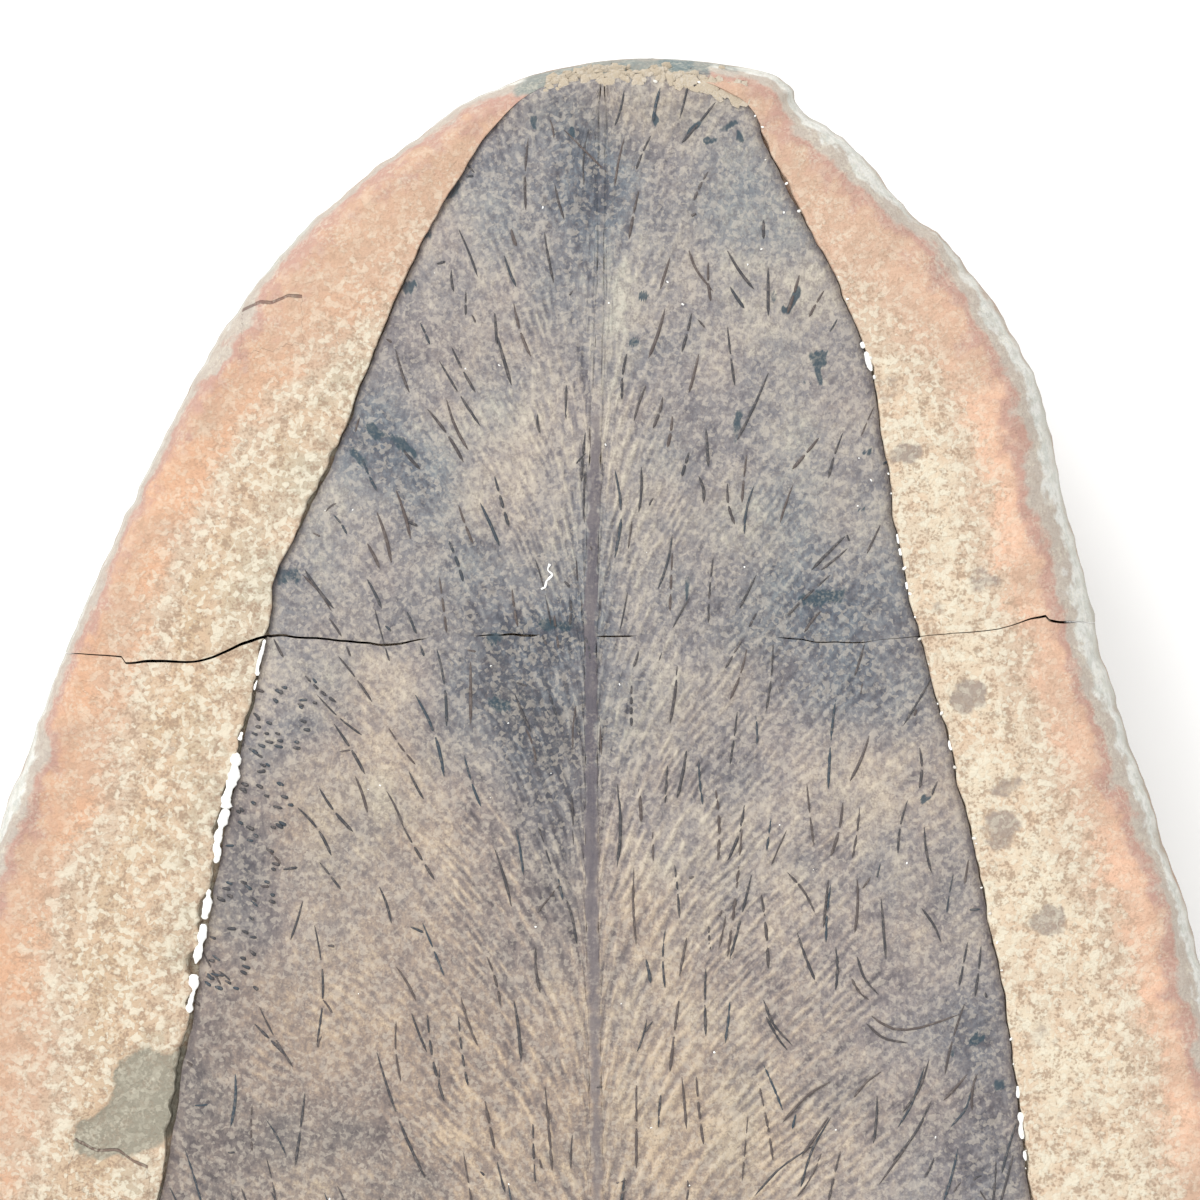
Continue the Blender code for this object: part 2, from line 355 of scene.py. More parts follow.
    def __post_init__(self) -> None:
        """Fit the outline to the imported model's box and prepare the searches."""
        low, high = (np.array(corner) / MM for corner in CAD_BOX)
        edge = smooth_path(self.stone_points, closed=True, steps=60)
        middle = (edge.min(axis=0) + edge.max(axis=0)) / 2.0
        edge = (edge - middle) * (high - low)[:2] / np.ptp(edge, axis=0)
        edge = edge + (low + high)[:2] / 2.0
        along = np.gradient(edge, axis=0)
        along /= np.hypot(*along.T)[:, None]
        chips = -0.16 * np.abs(Noise(2).at(edge, 2.2, 3)) + 0.03 * Noise(4).at(edge, 0.4, 2)
        chips *= 1.0 - 0.85 * soft_step(edge[:, 1], 58.6, 59.6)
        self.edge = edge - np.column_stack([along[:, 1], -along[:, 0]]) * chips[:, None]
        margin = smooth_path(self.margin_points, closed=True, steps=60)
        self.margin = margin + 0.07 * np.column_stack(
            [Noise(6).at(margin, 1.1, 3), 0.0 * margin[:, 0]])
        self.to_edge = Nearest(self.edge, closed=True)
        self.to_margin = Nearest(self.margin, closed=True)
        spokes = self.edge - np.array([0.0, self.rest_centre_y])
        turn = np.arctan2(spokes[:, 1], spokes[:, 0])
        order = np.argsort(turn)
        self._turns = turn[order]
        self._radii = np.hypot(*spokes[order].T)
        self._break = smooth_path(self.break_points, steps=12)
        self.waves = Noise(3)
        self.chips = Noise(5)

    def break_y(self, x: np.ndarray) -> np.ndarray:
        """Where the break lies, for each x, with its fine waver."""
        x = np.asarray(x, float)
        along = np.stack([x, np.zeros_like(x)], axis=-1)
        return np.interp(x, *self._break.T) + 0.05 * Noise(11).at(along, 0.9, 2)

    def break_gap(self, x: np.ndarray) -> np.ndarray:
        """Width of the open break, for each x."""
        return np.interp(x, *np.array(self.break_gaps).T)

    def midrib_x(self, y: np.ndarray) -> np.ndarray:
        """Centre line of the midrib, for each y."""
        return by_height(self.midrib_points, y)

    def midrib_reach(self, y: np.ndarray) -> np.ndarray:
        """Half width of the midrib, for each y."""
        return self.midrib_half * by_height(self.midrib_sizes, y)

    def shoulder(self, places: np.ndarray) -> np.ndarray:
        """Width of the weathered shoulder near each place."""
        side = np.clip(places[..., 0] / np.ptp(self.edge[:, 0]) + 0.5, 0.0, 1.0)
        tip = np.clip((places[..., 1] - self.tip_start) / (60.0 - self.tip_start), 0.0, 1.0)
        width = self.shoulder_left + (self.shoulder_right - self.shoulder_left) * side
        return width * (1.0 - (1.0 - self.tip_shoulder_share) * tip)

    def blend(self, places: np.ndarray) -> np.ndarray:
        """Share, from 0 to 1, by which the leaf merges in the rim at its broken top."""
        return soft_step(places[..., 1], *self.merge)

    def face(self, places: np.ndarray, inset: np.ndarray) -> np.ndarray:
        """Smooth height of the split face.

        Args:
            places: Places in the plane.
            inset: Distance of each place from the stone's edge.

        Returns:
            Heights in mm.
        """
        width = self.shoulder(places)
        rise = np.sqrt(np.clip(1.0 - (1.0 - np.clip(inset / width, 0.0, 1.0)) ** 2, 0.0, 1.0))
        share = np.clip((inset - width) / self.swell_reach, 0.0, 1.0)
        height = self.equator + (self.rim_height - self.equator) * rise
        return height + self.swell * np.sin(share * np.pi / 2.0) + 0.10 * self.waves.at(places, 9.0, 2)

    def leaf(self, places: np.ndarray, to_margin: np.ndarray) -> np.ndarray:
        """Height of the pressed leaf, without its veins.

        Args:
            places: Places in the plane.
            to_margin: Distance of each place from the leaf's margin.

        Returns:
            Heights in mm.
        """
        base = self.face(places, self.to_edge.distance(places))
        crown = self.leaf_crown * (1.0 - np.exp(-to_margin / 4.0))
        roll = 0.13 * np.exp(-to_margin / 0.22)
        dents = 0.05 * self.waves.at(places, 2.6, 2)
        sunk = (self.leaf_step + roll) * (1.0 - 0.85 * self.blend(places))
        return base - sunk + crown + dents

    def underside(self, places: np.ndarray) -> np.ndarray:
        """Height of the convex underside, with its flat resting patch at zero."""
        spokes = places - np.array([0.0, self.rest_centre_y])
        turn = np.arctan2(spokes[..., 1], spokes[..., 0])
        radius = np.interp(turn, self._turns, self._radii, period=2.0 * np.pi)
        share = np.hypot(spokes[..., 0], spokes[..., 1]) / radius
        out = np.clip((share - self.rest_share) / (1.0 - self.rest_share), 0.0, 1.0)
        swing = np.arcsin(out ** (1.0 / 0.9))
        height = self.equator * (1.0 - np.cos(swing) ** 0.95)
        rough = 0.55 * self.waves.at(places, 11.0, 2) + 0.16 * self.chips.at(places, 2.4, 3)
        return np.maximum(height + rough * np.sin(out * np.pi) * 0.9, 0.0)

    def arcs(self, loop: np.ndarray) -> dict[tuple[Side, Piece], np.ndarray]:
        """Cut a closed clockwise loop at its two ends and at the break.

        Args:
            loop: Places round the loop, the first at its tip.

        Returns:
            For each side and piece, the arc from its end of the plate to the break.
        """
        bottom = int(loop[:, 1].argmin())
        found = {}
        halves = {Side.RIGHT: loop[:bottom + 1], Side.LEFT: np.vstack([loop[:1], loop[bottom:][::-1]])}
        for side, half in halves.items():
            past = half[:, 1] - self.break_y(half[:, 0])
            cut = int(np.nonzero(past < 0.0)[0][0])
            share = past[cut - 1] / (past[cut - 1] - past[cut])
            crossing = half[cut - 1] + (half[cut] - half[cut - 1]) * share
            found[side, Piece.TIP] = np.vstack([half[:cut], crossing])
            found[side, Piece.BASE] = np.vstack([crossing, half[cut:]])[::-1]
        return found


# ---------------------------------------------------------------- meshes


def quads(grid: np.ndarray) -> np.ndarray:
    """Corners of the cells of a grid, one row of four for each cell."""
    return np.stack([grid[:-1, :-1], grid[:-1, 1:], grid[1:, 1:], grid[1:, :-1]], axis=-1).reshape(-1, 4)


class Draft:
    """Points and faces gathered for one mesh, in mm."""

    def __init__(self) -> None:
        """Start with nothing."""
        self.points: list[np.ndarray] = []
        self.faces: list[list[int]] = []
        self.slots: list[int] = []
        self.count = 0

    def place(self, points: np.ndarray) -> np.ndarray:
        """Add points.

        Args:
            points: Places, any shape, with x, y and z in the last axis.

        Returns:
            The new points' numbers, in the shape of the places.
        """
        flat = points.reshape(-1, 3)
        numbers = np.arange(self.count, self.count + len(flat)).reshape(points.shape[:-1])
        self.points.append(flat)
        self.count += len(flat)
        return numbers

    def polygon(self, corners: list[int], slot: int = 0) -> None:
        """Add one face, without corners that repeat."""
        kept = [c for i, c in enumerate(corners) if c != corners[i - 1]]
        if len(set(kept)) > 2:
            self.faces.append(kept)
            self.slots.append(slot)

    def sheet(self, grid: np.ndarray, slot: int = 0) -> None:
        """Add the four-cornered faces of a grid of point numbers."""
        for quad in quads(grid).tolist():
            if len(set(quad)) == 4:
                self.faces.append(quad)
                self.slots.append(slot)
            else:
                self.polygon(quad, slot)

    def all_points(self) -> np.ndarray:
        """Every point so far, one row each."""
        return np.vstack(self.points)

    def finish(self, name: str, dress: list[bpy.types.Material],
               fields: dict[str, np.ndarray] | None = None, sharp: float = 50.0) -> bpy.types.Object:
        """Make the object.

        Args:
            name: Name of the piece.
            dress: Its materials, in the order of the faces' slots.
            fields: Values to store at each point, by name.
            sharp: Angle in degrees past which an edge is not smoothed over.

        Returns:
            The new object, in the scene.
        """
        mesh = bpy.data.meshes.new(name)
        mesh.from_pydata((self.all_points() * MM).tolist(), [], self.faces)
        mesh.polygons.foreach_set("material_index", self.slots)
        for label, values in (fields or {}).items():
            layer = mesh.attributes.new(label, "FLOAT", "POINT")
            layer.data.foreach_set("value", np.asarray(values, np.float32).ravel())
        work = bmesh.new()
        work.from_mesh(mesh)
        bmesh.ops.recalc_face_normals(work, faces=work.faces)
        work.to_mesh(mesh)
        work.free()
        for material in dress:
            mesh.materials.append(material)
        mesh.shade_smooth()
        mesh.set_sharp_from_angle(angle=math.radians(sharp))
        piece = bpy.data.objects.new(name, mesh)
        bpy.context.scene.collection.objects.link(piece)
        return piece


def add_floor_under(piece: bpy.types.Object, level: float) -> None:
    """Close an open sheet with an upright skirt and a flat bottom.

    Args:
        piece: Object whose mesh is one open sheet.
        level: Height of the bottom, in mm.
    """
    work = bmesh.new()
    work.from_mesh(piece.data)
    loose = [vert for vert in work.verts if not vert.link_faces]
    bmesh.ops.delete(work, geom=loose, context="VERTS")
    rim = [edge for edge in work.edges if edge.is_boundary]
    made = bmesh.ops.extrude_edge_only(work, edges=rim)["geom"]
    for vert in (part for part in made if isinstance(part, bmesh.types.BMVert)):
        vert.co.z = level * MM
    low = [part for part in made if isinstance(part, bmesh.types.BMEdge) and part.is_boundary]
    bmesh.ops.holes_fill(work, edges=low, sides=0)
    bmesh.ops.recalc_face_normals(work, faces=work.faces)
    work.to_mesh(piece.data)
    work.free()
    piece.data.set_sharp_from_angle(angle=math.radians(50.0))


@dataclass
class StonePiece:
    """One piece of the nodule: its matrix face, its rind and its face along the break."""

    form: PlateForm
    piece: Piece
    node: str
    rows: int
    face_columns: int = 62
    bed_columns: int = 14
    under_columns: int = 60
    coarse: int = 4
    levels: int = 12
    settle: float = 6.0

    def _edge_rows(self) -> dict[Side, tuple[np.ndarray, np.ndarray, np.ndarray]]:
        """For each side, row ends on the stone's edge, the matrix's edge and the leaf's margin."""
        stone = self.form.arcs(self.form.edge)
        leaf = self.form.arcs(self.form.margin)
        ends = {}
        for side in Side:
            outer = spaced(stone[side, self.piece], self.rows + 1)
            inner = spaced(leaf[side, self.piece], self.rows + 1)
            along = np.gradient(inner, axis=0)
            out = np.column_stack([along[:, 1], -along[:, 0]]) / np.hypot(*along.T)[:, None]
            away = np.sign(((outer - inner) * out).sum(axis=1))[:, None]
            pairs = self.form.left_gaps if side is Side.LEFT else self.form.right_gaps
            gap = by_height(pairs, inner[:, 1]) * (1.0 + 0.6 * Noise(21).at(inner, 0.6, 3))
            gap = np.maximum(gap * (1.0 - self.form.blend(inner)), 0.01)
            ends[side] = outer, inner + out * away * gap[:, None], inner
        right, left = ends[Side.RIGHT], ends[Side.LEFT]
        for a, b in zip(left, right):
            a[0] = b[0]
        return ends

    def _bent_to_break(self, grid: np.ndarray) -> np.ndarray:
        """Bend the last rows of a grid of places so that the last one lies on the break."""
        last = grid[-1, :, 0]
        edge = self.form.break_y(last) + self.piece.value * self.form.break_gap(last) / 2.0
        shift = edge - grid[-1, :, 1]
        spacing = np.linalg.norm(grid[-1] - grid[-2], axis=-1).mean()
        steps = np.arange(len(grid))[::-1] * spacing
        weight = np.clip(1.0 - steps / self.settle, 0.0, 1.0) ** 2
        grid[..., 1] += weight[:, None] * shift[None, :]
        return grid

    def _matrix(self, outer: np.ndarray, lip: np.ndarray, inner: np.ndarray) -> np.ndarray:
        """Places across the bare matrix, down into the groove, for every row."""
        u = np.linspace(0.0, 1.0, self.face_columns)
        share = 0.4 * u + 0.6 * (1.0 - np.cos(np.pi * u)) / 2.0
        across = outer[:, None] + (lip - outer)[:, None] * share[None, :, None]
        foot = lip + (inner - lip) * 0.3
        flat = np.concatenate([across, foot[:, None], inner[:, None]], axis=1)
        flat = self._bent_to_break(flat)
        inset = self.form.to_edge.distance(flat)
        height = self.form.face(flat, inset)
        height += self._relief(flat, inset)
        height[:, -3] -= 0.04
        shallow = 1.0 - 0.85 * self.form.blend(flat[:, -2:])
        height[:, -2:] -= self.form.groove_depth * shallow
        height[:, 0] = self.form.equator
        return np.dstack([flat, height])

    def _relief(self, flat: np.ndarray, inset: np.ndarray) -> np.ndarray:
        """Grain, chips, spots and dents of the bare matrix."""
        form = self.form
        width = form.shoulder(flat)
        rough = soft_step(inset, width + 1.6, width * 0.8)
        granular = soft_step(inset, 2.0, 6.0)
        relief = 0.030 * form.chips.at(flat, 0.45, 2) * (0.35 + 0.65 * granular)
        relief += 0.045 * form.waves.at(flat, 1.7, 2)
        relief += rough * (0.16 * form.chips.at(flat, 1.5, 3) + 0.10 * Noise(8).at(flat, 4.0, 2))
        relief *= soft_step(inset, 0.0, 0.35)
        relief -= 0.07 * stone_spots(flat)
        relief -= 0.10 * olive_area(flat)
        return relief

    def build(self, dress: list[bpy.types.Material]) -> bpy.types.Object:
        """Make the piece and stand it in for its node.

        Args:
            dress: Materials in the order of Skin.

        Returns:
            The finished piece.
        """
        draft = Draft()
        ends = self._edge_rows()
        rings = {}
        for side in Side:
            rings[side] = draft.place(self._matrix(*ends[side]))
            rings[side][0] = rings[Side.LEFT][0]
            draft.sheet(rings[side], Skin.FACE.value)
        self._bed(draft, ends, rings)
        under = self._underside(draft, rings)
        self._break_face(draft, rings, under)
        points = draft.all_points()
        name = f"nodule_stone_{self.piece.word}"
        stone = draft.finish(name, dress, matrix_fields(self.form, points))
        tidy_loose(stone)
        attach(stone, "root")
        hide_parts(self.node)
        return stone

    def _bed(self, draft: Draft, ends: dict, rings: dict[Side, np.ndarray]) -> None:
        """Floor that the leaf lies on, coarser than the matrix and joined to it."""
        left, right = (ends[side][2] for side in Side)
        picked = np.arange(0, self.rows + 1, self.coarse)
        share = np.linspace(0.0, 1.0, self.bed_columns + 1)[None, :, None]
        flat = left[picked, None] + (right - left)[picked, None] * share
        flat = self._bent_to_break(flat)
        depth = self.form.leaf_step + self.form.bed_depth
        height = self.form.face(flat, self.form.to_edge.distance(flat)) - depth
        bed = draft.place(np.dstack([flat, height]))
        bed[:, 0] = rings[Side.LEFT][picked, -1]
        bed[:, -1] = rings[Side.RIGHT][picked, -1]
        bed[0, :] = bed[0, 0]
        draft.sheet(bed[:, 1:-1], Skin.FACE.value)
        for column, inner, side in ((0, 1, Side.LEFT), (-1, -2, Side.RIGHT)):
            fine = rings[side][:, -1]
            self._stitch(draft, fine, bed[:, inner], Skin.FACE)
        self.bed_row = bed[-1, 1:-1]

    def _stitch(self, draft: Draft, fine: np.ndarray, rough: np.ndarray, skin: Skin) -> None:
        """Join a fine line of points to a line with one point for every few of them."""
        for step in range(len(rough) - 1):
            run = fine[step * self.coarse:(step + 1) * self.coarse + 1].tolist()
            draft.polygon(run + [int(rough[step + 1]), int(rough[step])], skin.value)

    def _underside(self, draft: Draft, rings: dict[Side, np.ndarray]) -> np.ndarray:
        """Convex underside, hung between the two stretches of the stone's edge."""
        picked = np.arange(0, self.rows + 1, self.coarse)
        points = draft.all_points()
        left = points[rings[Side.LEFT][picked, 0]][:, :2]
        right = points[rings[Side.RIGHT][picked, 0]][:, :2]
        u = np.linspace(0.0, 1.0, self.under_columns + 1)
        share = (0.25 * u + 0.75 * (1.0 - np.cos(np.pi * u)) / 2.0)[None, :, None]
        flat = self._bent_to_break(left[:, None] + (right - left)[:, None] * share)
        under = draft.place(np.dstack([flat, self.form.underside(flat)]))
        under[:, 0] = rings[Side.LEFT][picked, 0]
        under[:, -1] = rings[Side.RIGHT][picked, 0]
        under[0, :] = under[0, 0]
        draft.sheet(under[:, 1:-1], Skin.RIND.value)
        for inner, side in ((1, Side.LEFT), (-2, Side.RIGHT)):
            self._stitch(draft, rings[side][:, 0], under[:, inner], Skin.RIND)
        return under

    def _break_face(self, draft: Draft, rings: dict[Side, np.ndarray], under: np.ndarray) -> None:
        """Rough upright face along the break, from the split face down to the underside."""
        top = np.concatenate([rings[Side.LEFT][-1], self.bed_row, rings[Side.RIGHT][-1][::-1]])
        low = under[-1]
        points = draft.all_points()
        picked = np.abs(points[top, 0][None, :] - points[low, 0][:, None]).argmin(axis=1)
        picked[0], picked[-1] = 0, len(top) - 1
        picked = np.maximum.accumulate(picked)
        share = np.linspace(0.0, 1.0, self.levels + 1)[1:-1, None, None]
        upper, lower = points[top[picked]], points[low]
        inside = upper[None] + (lower - upper)[None] * share
        rough = 0.5 * Noise(31).at(inside[..., [0, 2]], 5.0, 4) * np.sin(share[..., 0] * np.pi)
        from_ends = np.minimum(inside[..., 0] + 21.0, 22.0 - inside[..., 0])
        inside[..., 1] += rough * soft_step(from_ends, 0.0, 3.0)
        middle = draft.place(inside)
        middle[:, 0] = low[0]
        middle[:, -1] = low[-1]
        draft.sheet(np.vstack([middle, low[None]]), Skin.BREAK.value)
        for step in range(len(low) - 1):
            run = top[picked[step]:picked[step + 1] + 1].tolist()
            corners = run + [int(middle[0, step + 1]), int(middle[0, step])]
            draft.polygon(corners, Skin.BREAK.value)


def tidy_loose(piece: bpy.types.Object) -> None:
    """Delete points that no face uses."""
    work = bmesh.new()
    work.from_mesh(piece.data)
    loose = [vert for vert in work.verts if not vert.link_faces]
    bmesh.ops.delete(work, geom=loose, context="VERTS")
    work.to_mesh(piece.data)
    work.free()


def patches(*rows: tuple[float, ...]) -> list[Patch]:
    """Patches from rows of x, y, half width, half height, turn and strength."""
    return [Patch(*row) for row in rows]


SPOTS = patches(
    (14.5, 43.4, 0.75, 0.5, -15, 0.9), (13.9, 46.2, 0.7, 0.75, 0, 0.5),
    (17.8, 38.1, 0.65, 0.55, -10, 0.75), (15.9, 36.9, 0.4, 0.3, 0, 0.6), (17.3, 33.2, 0.68, 0.68, 35, 1),
    (18.7, 29.5, 0.66, 0.42, 0, 0.8), (18.6, 27.6, 0.74, 0.88, 20, 0.95),
    (20.6, 23.8, 0.72, 0.64, 0, 0.95), (20.1, 19.1, 0.6, 0.7, 30, 0.5), (21.8, 16, 1.1, 0.5, 15, 0.4),
    (-16.5, 31, 0.9, 0.45, 30, 0.45), (23.4, 8, 0.7, 0.6, 0, 0.8), (24.3, -3, 0.8, 0.7, 40, 0.8),
    (25, -15, 0.6, 0.7, 0, 0.7), (-23.5, -8, 0.8, 0.6, 0, 0.6), (-22, -22, 0.7, 0.8, 0, 0.5),
)
OLIVE = patches(
    (-17, 16.7, 1.9, 2.3, -25), (-18.6, 14.9, 1.3, 1, 20),
)
SIDE_CRACK = [(-13.2, 49.35), (-12.4, 49.7), (-11.9, 49.65), (-11.2, 49.95), (-10.6, 49.9)]
OLIVE_CRACK = [(-20.3, 14.9), (-19.2, 14.3), (-18.3, 14.35), (-17.7, 13.9), (-17.0, 13.6)]
LEAF_TONES = patches(
    (1.4, 54.6, 1.5, 2.2, 0, -0.42), (8, 52, 1.8, 2.8, 20, 0.1), (-7.2, 43.7, 2.3, 1.5, -35, -0.46),
    (-1.4, 44.2, 2.6, 2.4, 40, 0.16), (-1.6, 41.4, 1.8, 2, 60, 0.02), (-3.4, 39.2, 1.5, 1.4, 0, -0.14),
    (2.5, 48.3, 0.55, 3.6, 0, 0.3), (1.3, 39.4, 0.8, 3.2, 0, -0.22), (6.2, 45.2, 2.4, 2, 20, -0.1),
    (9.2, 41.4, 3.6, 3, 60, 0.06), (10.8, 37.2, 3, 1.7, 10, -0.3), (12.4, 33.6, 2.4, 2.2, 0, -0.24),
    (-2.2, 34.2, 2.9, 2.4, -20, -0.4), (0.2, 36, 2.2, 1, 0, -0.3), (-0.6, 30, 1.9, 3.6, 10, -0.3),
    (-6.7, 34, 1.1, 1.2, 0, 0.36), (-8, 29.6, 2.6, 2.8, 50, 0.15), (-4.6, 27, 1.4, 2.4, 30, 0.18),
    (-12.9, 25.2, 1.2, 2.6, 5, -0.34), (-8.6, 20.6, 3.6, 2.2, 25, 0.2), (-15.4, 17, 1.4, 4.2, 8, -0.22),
    (-4.6, 15.4, 3.4, 2.6, 0, 0.16), (5, 16, 3.2, 5, -10, 0.24), (4.4, 26.6, 2, 4.4, -12, 0.1),
    (13.2, 24.8, 2.2, 2.6, 0, -0.14), (12.4, 29.2, 2.2, 1.4, 10, 0.14), (17.5, 19.2, 1.4, 2, 15, -0.36),
    (18.2, 13.4, 1.3, 2.6, 5, -0.24), (15.4, 14.6, 2, 2.2, 20, -0.06), (-10.4, 32, 0.8, 0.6, 0, -0.26),
    (-5.4, 13, 0.8, 0.6, 0, -0.24), (-2.6, 54.8, 1.5, 1.8, 30, -0.24), (7.6, 54.2, 1.7, 1.5, 0, -0.18),
    (9.4, 35, 1.7, 1.2, 0, -0.1), (4.8, 28.4, 1.3, 1.6, 0, -0.15), (7.6, 30, 1.3, 1.3, 0, -0.12),
    (-9.4, 15.4, 2.3, 1.8, 0, -0.24), (-13, 16.4, 1.5, 2, 0, -0.1), (11, 49.6, 1.4, 1.5, 0, 0.14),
    (-0.8, 48.4, 1.5, 1.7, 0, 0.11), (6.8, 47.7, 1.5, 1.3, 0, 0.16), (8, 16.2, 2.4, 2.6, 0, 0.14),
    (-13.6, 24.6, 1.3, 2, 0, 0.06), (-4, -4, 6, 9, 10, 0.2), (9, -16, 5, 9, -15, 0.18),
    (13.6, 3, 3, 5, 20, -0.24), (-12, -6, 3, 6.5, 10, -0.2), (-3, -20, 3, 6, 15, -0.24),
    (6, -36, 6, 5, 0, -0.2),
)
LEAF_BROWN = patches(
    (-12, 14, 11, 12, 0, 0.9), (-2, 8, 12, 12, 0, 0.5), (6, 14, 5, 8, 0, 0.45),
    (3, 57.6, 4, 1.2, 0, 0.7), (-8, 28.5, 2.6, 2.4, 0, 0.45), (2, -25, 22, 26, 0, 0.5),
)
VEINY = patches(
    (5.6, 16, 7, 9, 0, 1), (4.4, 29, 4.6, 8, 0, 0.8), (1.6, 44, 3, 12, 0, 0.6),
    (-1.6, 22, 3.4, 16, 0, 0.5), (2, -20, 18, 26, 0, 0.7), (7.4, 54, 3.4, 3, 0, 0.3),
)
LEAF_TEAL = patches(
    (4.1, 57.2, 0.16, 0.34, 0), (5.7, 56.9, 0.14, 0.66, -50), (6.3, 56.4, 0.34, 0.16, 0),
    (7.1, 57, 0.5, 0.14, 25, 0.7), (7.6, 56.6, 0.14, 0.3, 20, 0.8), (9, 50, 0.16, 0.5, 10, 0.8),
    (9.9, 49.9, 0.16, 0.6, -25), (9.5, 49.4, 0.3, 0.16, 0), (10.9, 47.5, 0.4, 0.14, 5),
    (11.1, 47.2, 0.16, 0.24, 0), (10.9, 46.6, 0.12, 0.6, 10), (10.4, 46.3, 0.4, 0.14, -10, 0.8),
    (3.6, 49.9, 0.2, 0.14, 0), (3.2, 48, 0.18, 0.14, 0), (-7.6, 44.2, 0.6, 0.3, -40, 0.9),
    (-6.5, 43.7, 0.7, 0.24, -30, 0.8), (-8.3, 43.2, 0.5, 0.2, -40, 0.8), (7.5, 44.4, 0.14, 0.8, -8, 0.7),
    (5.4, 37.6, 0.14, 0.6, 0, 0.7), (0, 36.2, 0.9, 0.26, 0, 0.95), (-2.6, 35.6, 0.7, 0.2, 0, 0.8),
    (-2.3, 33, 0.4, 0.3, 0, 0.8), (11.2, 37.4, 1.1, 0.34, 12, 0.8), (9.6, 36.6, 0.6, 0.2, 0, 0.5),
    (17.4, 18.9, 0.4, 0.24, 20), (16.6, 18.4, 0.3, 0.22, 0, 0.9), (18.5, 17, 0.5, 0.24, 10, 0.8),
    (15.3, 29, 0.2, 0.16, 0), (-5.5, 52.6, 0.3, 0.3, 50, 0.9), (-4.3, 54.4, 0.5, 0.26, 50, 0.8),
    (-6.2, 50.4, 0.3, 0.24, 0, 0.9), (-1, 57.3, 0.2, 0.3, 0, 0.8), (0.6, 56.8, 0.16, 0.3, 0, 0.8),
    (-11.3, 38.4, 0.5, 0.5, 0, 0.7), (13, 43.4, 0.18, 0.14, 0), (12.7, 41, 0.16, 0.12, 0),
)
LEAF_BLUE = patches(
    (10.1, 41.4, 3.2, 2.4, 60, 0.3), (7.6, 54, 1.8, 1.6, 0, 0.3), (0, 36, 1.4, 0.9, 0, 0.4),
    (1.2, 53.6, 1.3, 2.6, 10, 0.5), (10.4, 36.6, 3, 1.4, 0, 0.3),
)
FACE_TEAL = patches(
    (5, 59.7, 0.75, 0.36, -8), (6.1, 59.1, 0.32, 0.5, -30, 0.8), (2.8, 59.6, 1.1, 0.18, 5, 0.4),
)
RIM_CAP = patches(
    (3, 59.75, 3.9, 0.85, 0), (-0.6, 59.1, 1.1, 0.6, 30, 0.8),
)


def stone_spots(flat: np.ndarray) -> np.ndarray:
    """Cover of the smooth round spots on the matrix."""
    return covered(SPOTS, flat, 0.30, 0.42 * Noise(41).at(flat, 0.55, 3))


def olive_area(flat: np.ndarray) -> np.ndarray:
    """Cover of the grey patch where a flake of matrix came away."""
    return covered(OLIVE, flat, 0.16, 0.30 * Noise(43).at(flat, 1.1, 3))


def crack_offset(flat: np.ndarray) -> np.ndarray:
    """Signed distance in y from the nearest short crack, within its reach in x."""
    nearest = np.full(len(flat), 2.0)
    for crack in (SIDE_CRACK, OLIVE_CRACK):
        x, y = np.array(crack).T
        offset = flat[:, 1] - np.interp(flat[:, 0], x, y)
        within = (flat[:, 0] > x[0]) & (flat[:, 0] < x[-1]) & (np.abs(offset) < 2.0)
        nearest = np.where(within, offset, nearest)
    return nearest


def matrix_fields(form: PlateForm, points: np.ndarray) -> dict[str, np.ndarray]:
    """Work out what the stone's materials read at each point.

    Args:
        form: The plate's form.
        points: Points in mm.

    Returns:
        Values by name: band runs from 0 at the rim to 4 in the pale matrix, and the rest are
        covers from 0 to 1 or distances in mm.
    """
    flat = points[:, :2]
    inset = form.to_edge.distance(flat)
    wander = 0.35 * Noise(51).at(flat, 6.0, 2) + 0.30 * Noise(52).at(flat, 1.4, 3)
    right = soft_step(flat[:, 0], -8.0, 14.0)
    top = soft_step(flat[:, 1], 42.0, 54.0)
    bulge = np.exp(-((flat[:, 1] - 28.8) / 2.4) ** 2) * (1.0 - right)
    worn = np.exp(-((flat[:, 1] - 52.8) / 1.7) ** 2) * right
    rind = 0.16 + 0.50 * right - 0.06 * top + 0.45 * bulge - 0.40 * worn
    red = rind + 0.45 + 0.40 * right + 0.5 * (1.0 - right) * soft_step(flat[:, 1], 34.0, 27.0)
    low = soft_step(flat[:, 1], 25.0, 16.0) * (1.0 - right)
    orange = red + 2.15 - 0.6 * right + top * (2.4 - 0.6 * right) + 2.0 * low
    cream = orange + 2.2 + 1.2 * top
    spread = np.maximum(inset + wander * soft_step(inset, 0.0, 0.9), 0.0)
    band = np.zeros(len(flat))
    for lower, upper in ((0.0 * rind, rind), (rind, red), (red, orange), (orange, cream)):
        band += np.clip((spread - lower) / (upper - lower), 0.0, 1.0)
    return {
        "band": band,
        "seam": form.to_margin.distance(flat) + form.blend(flat),
        "top": top,
        "cap": covered(RIM_CAP, flat, 0.3, 0.25 * Noise(54).at(flat, 0.8, 2)),
        "spot": stone_spots(flat),
        "olive": olive_area(flat),
        "teal": covered(FACE_TEAL, flat, 0.3, 0.3 * Noise(53).at(flat, 0.9, 2)),
        "crack": crack_offset(flat),
    }


# ---------------------------------------------------------------- the leaf


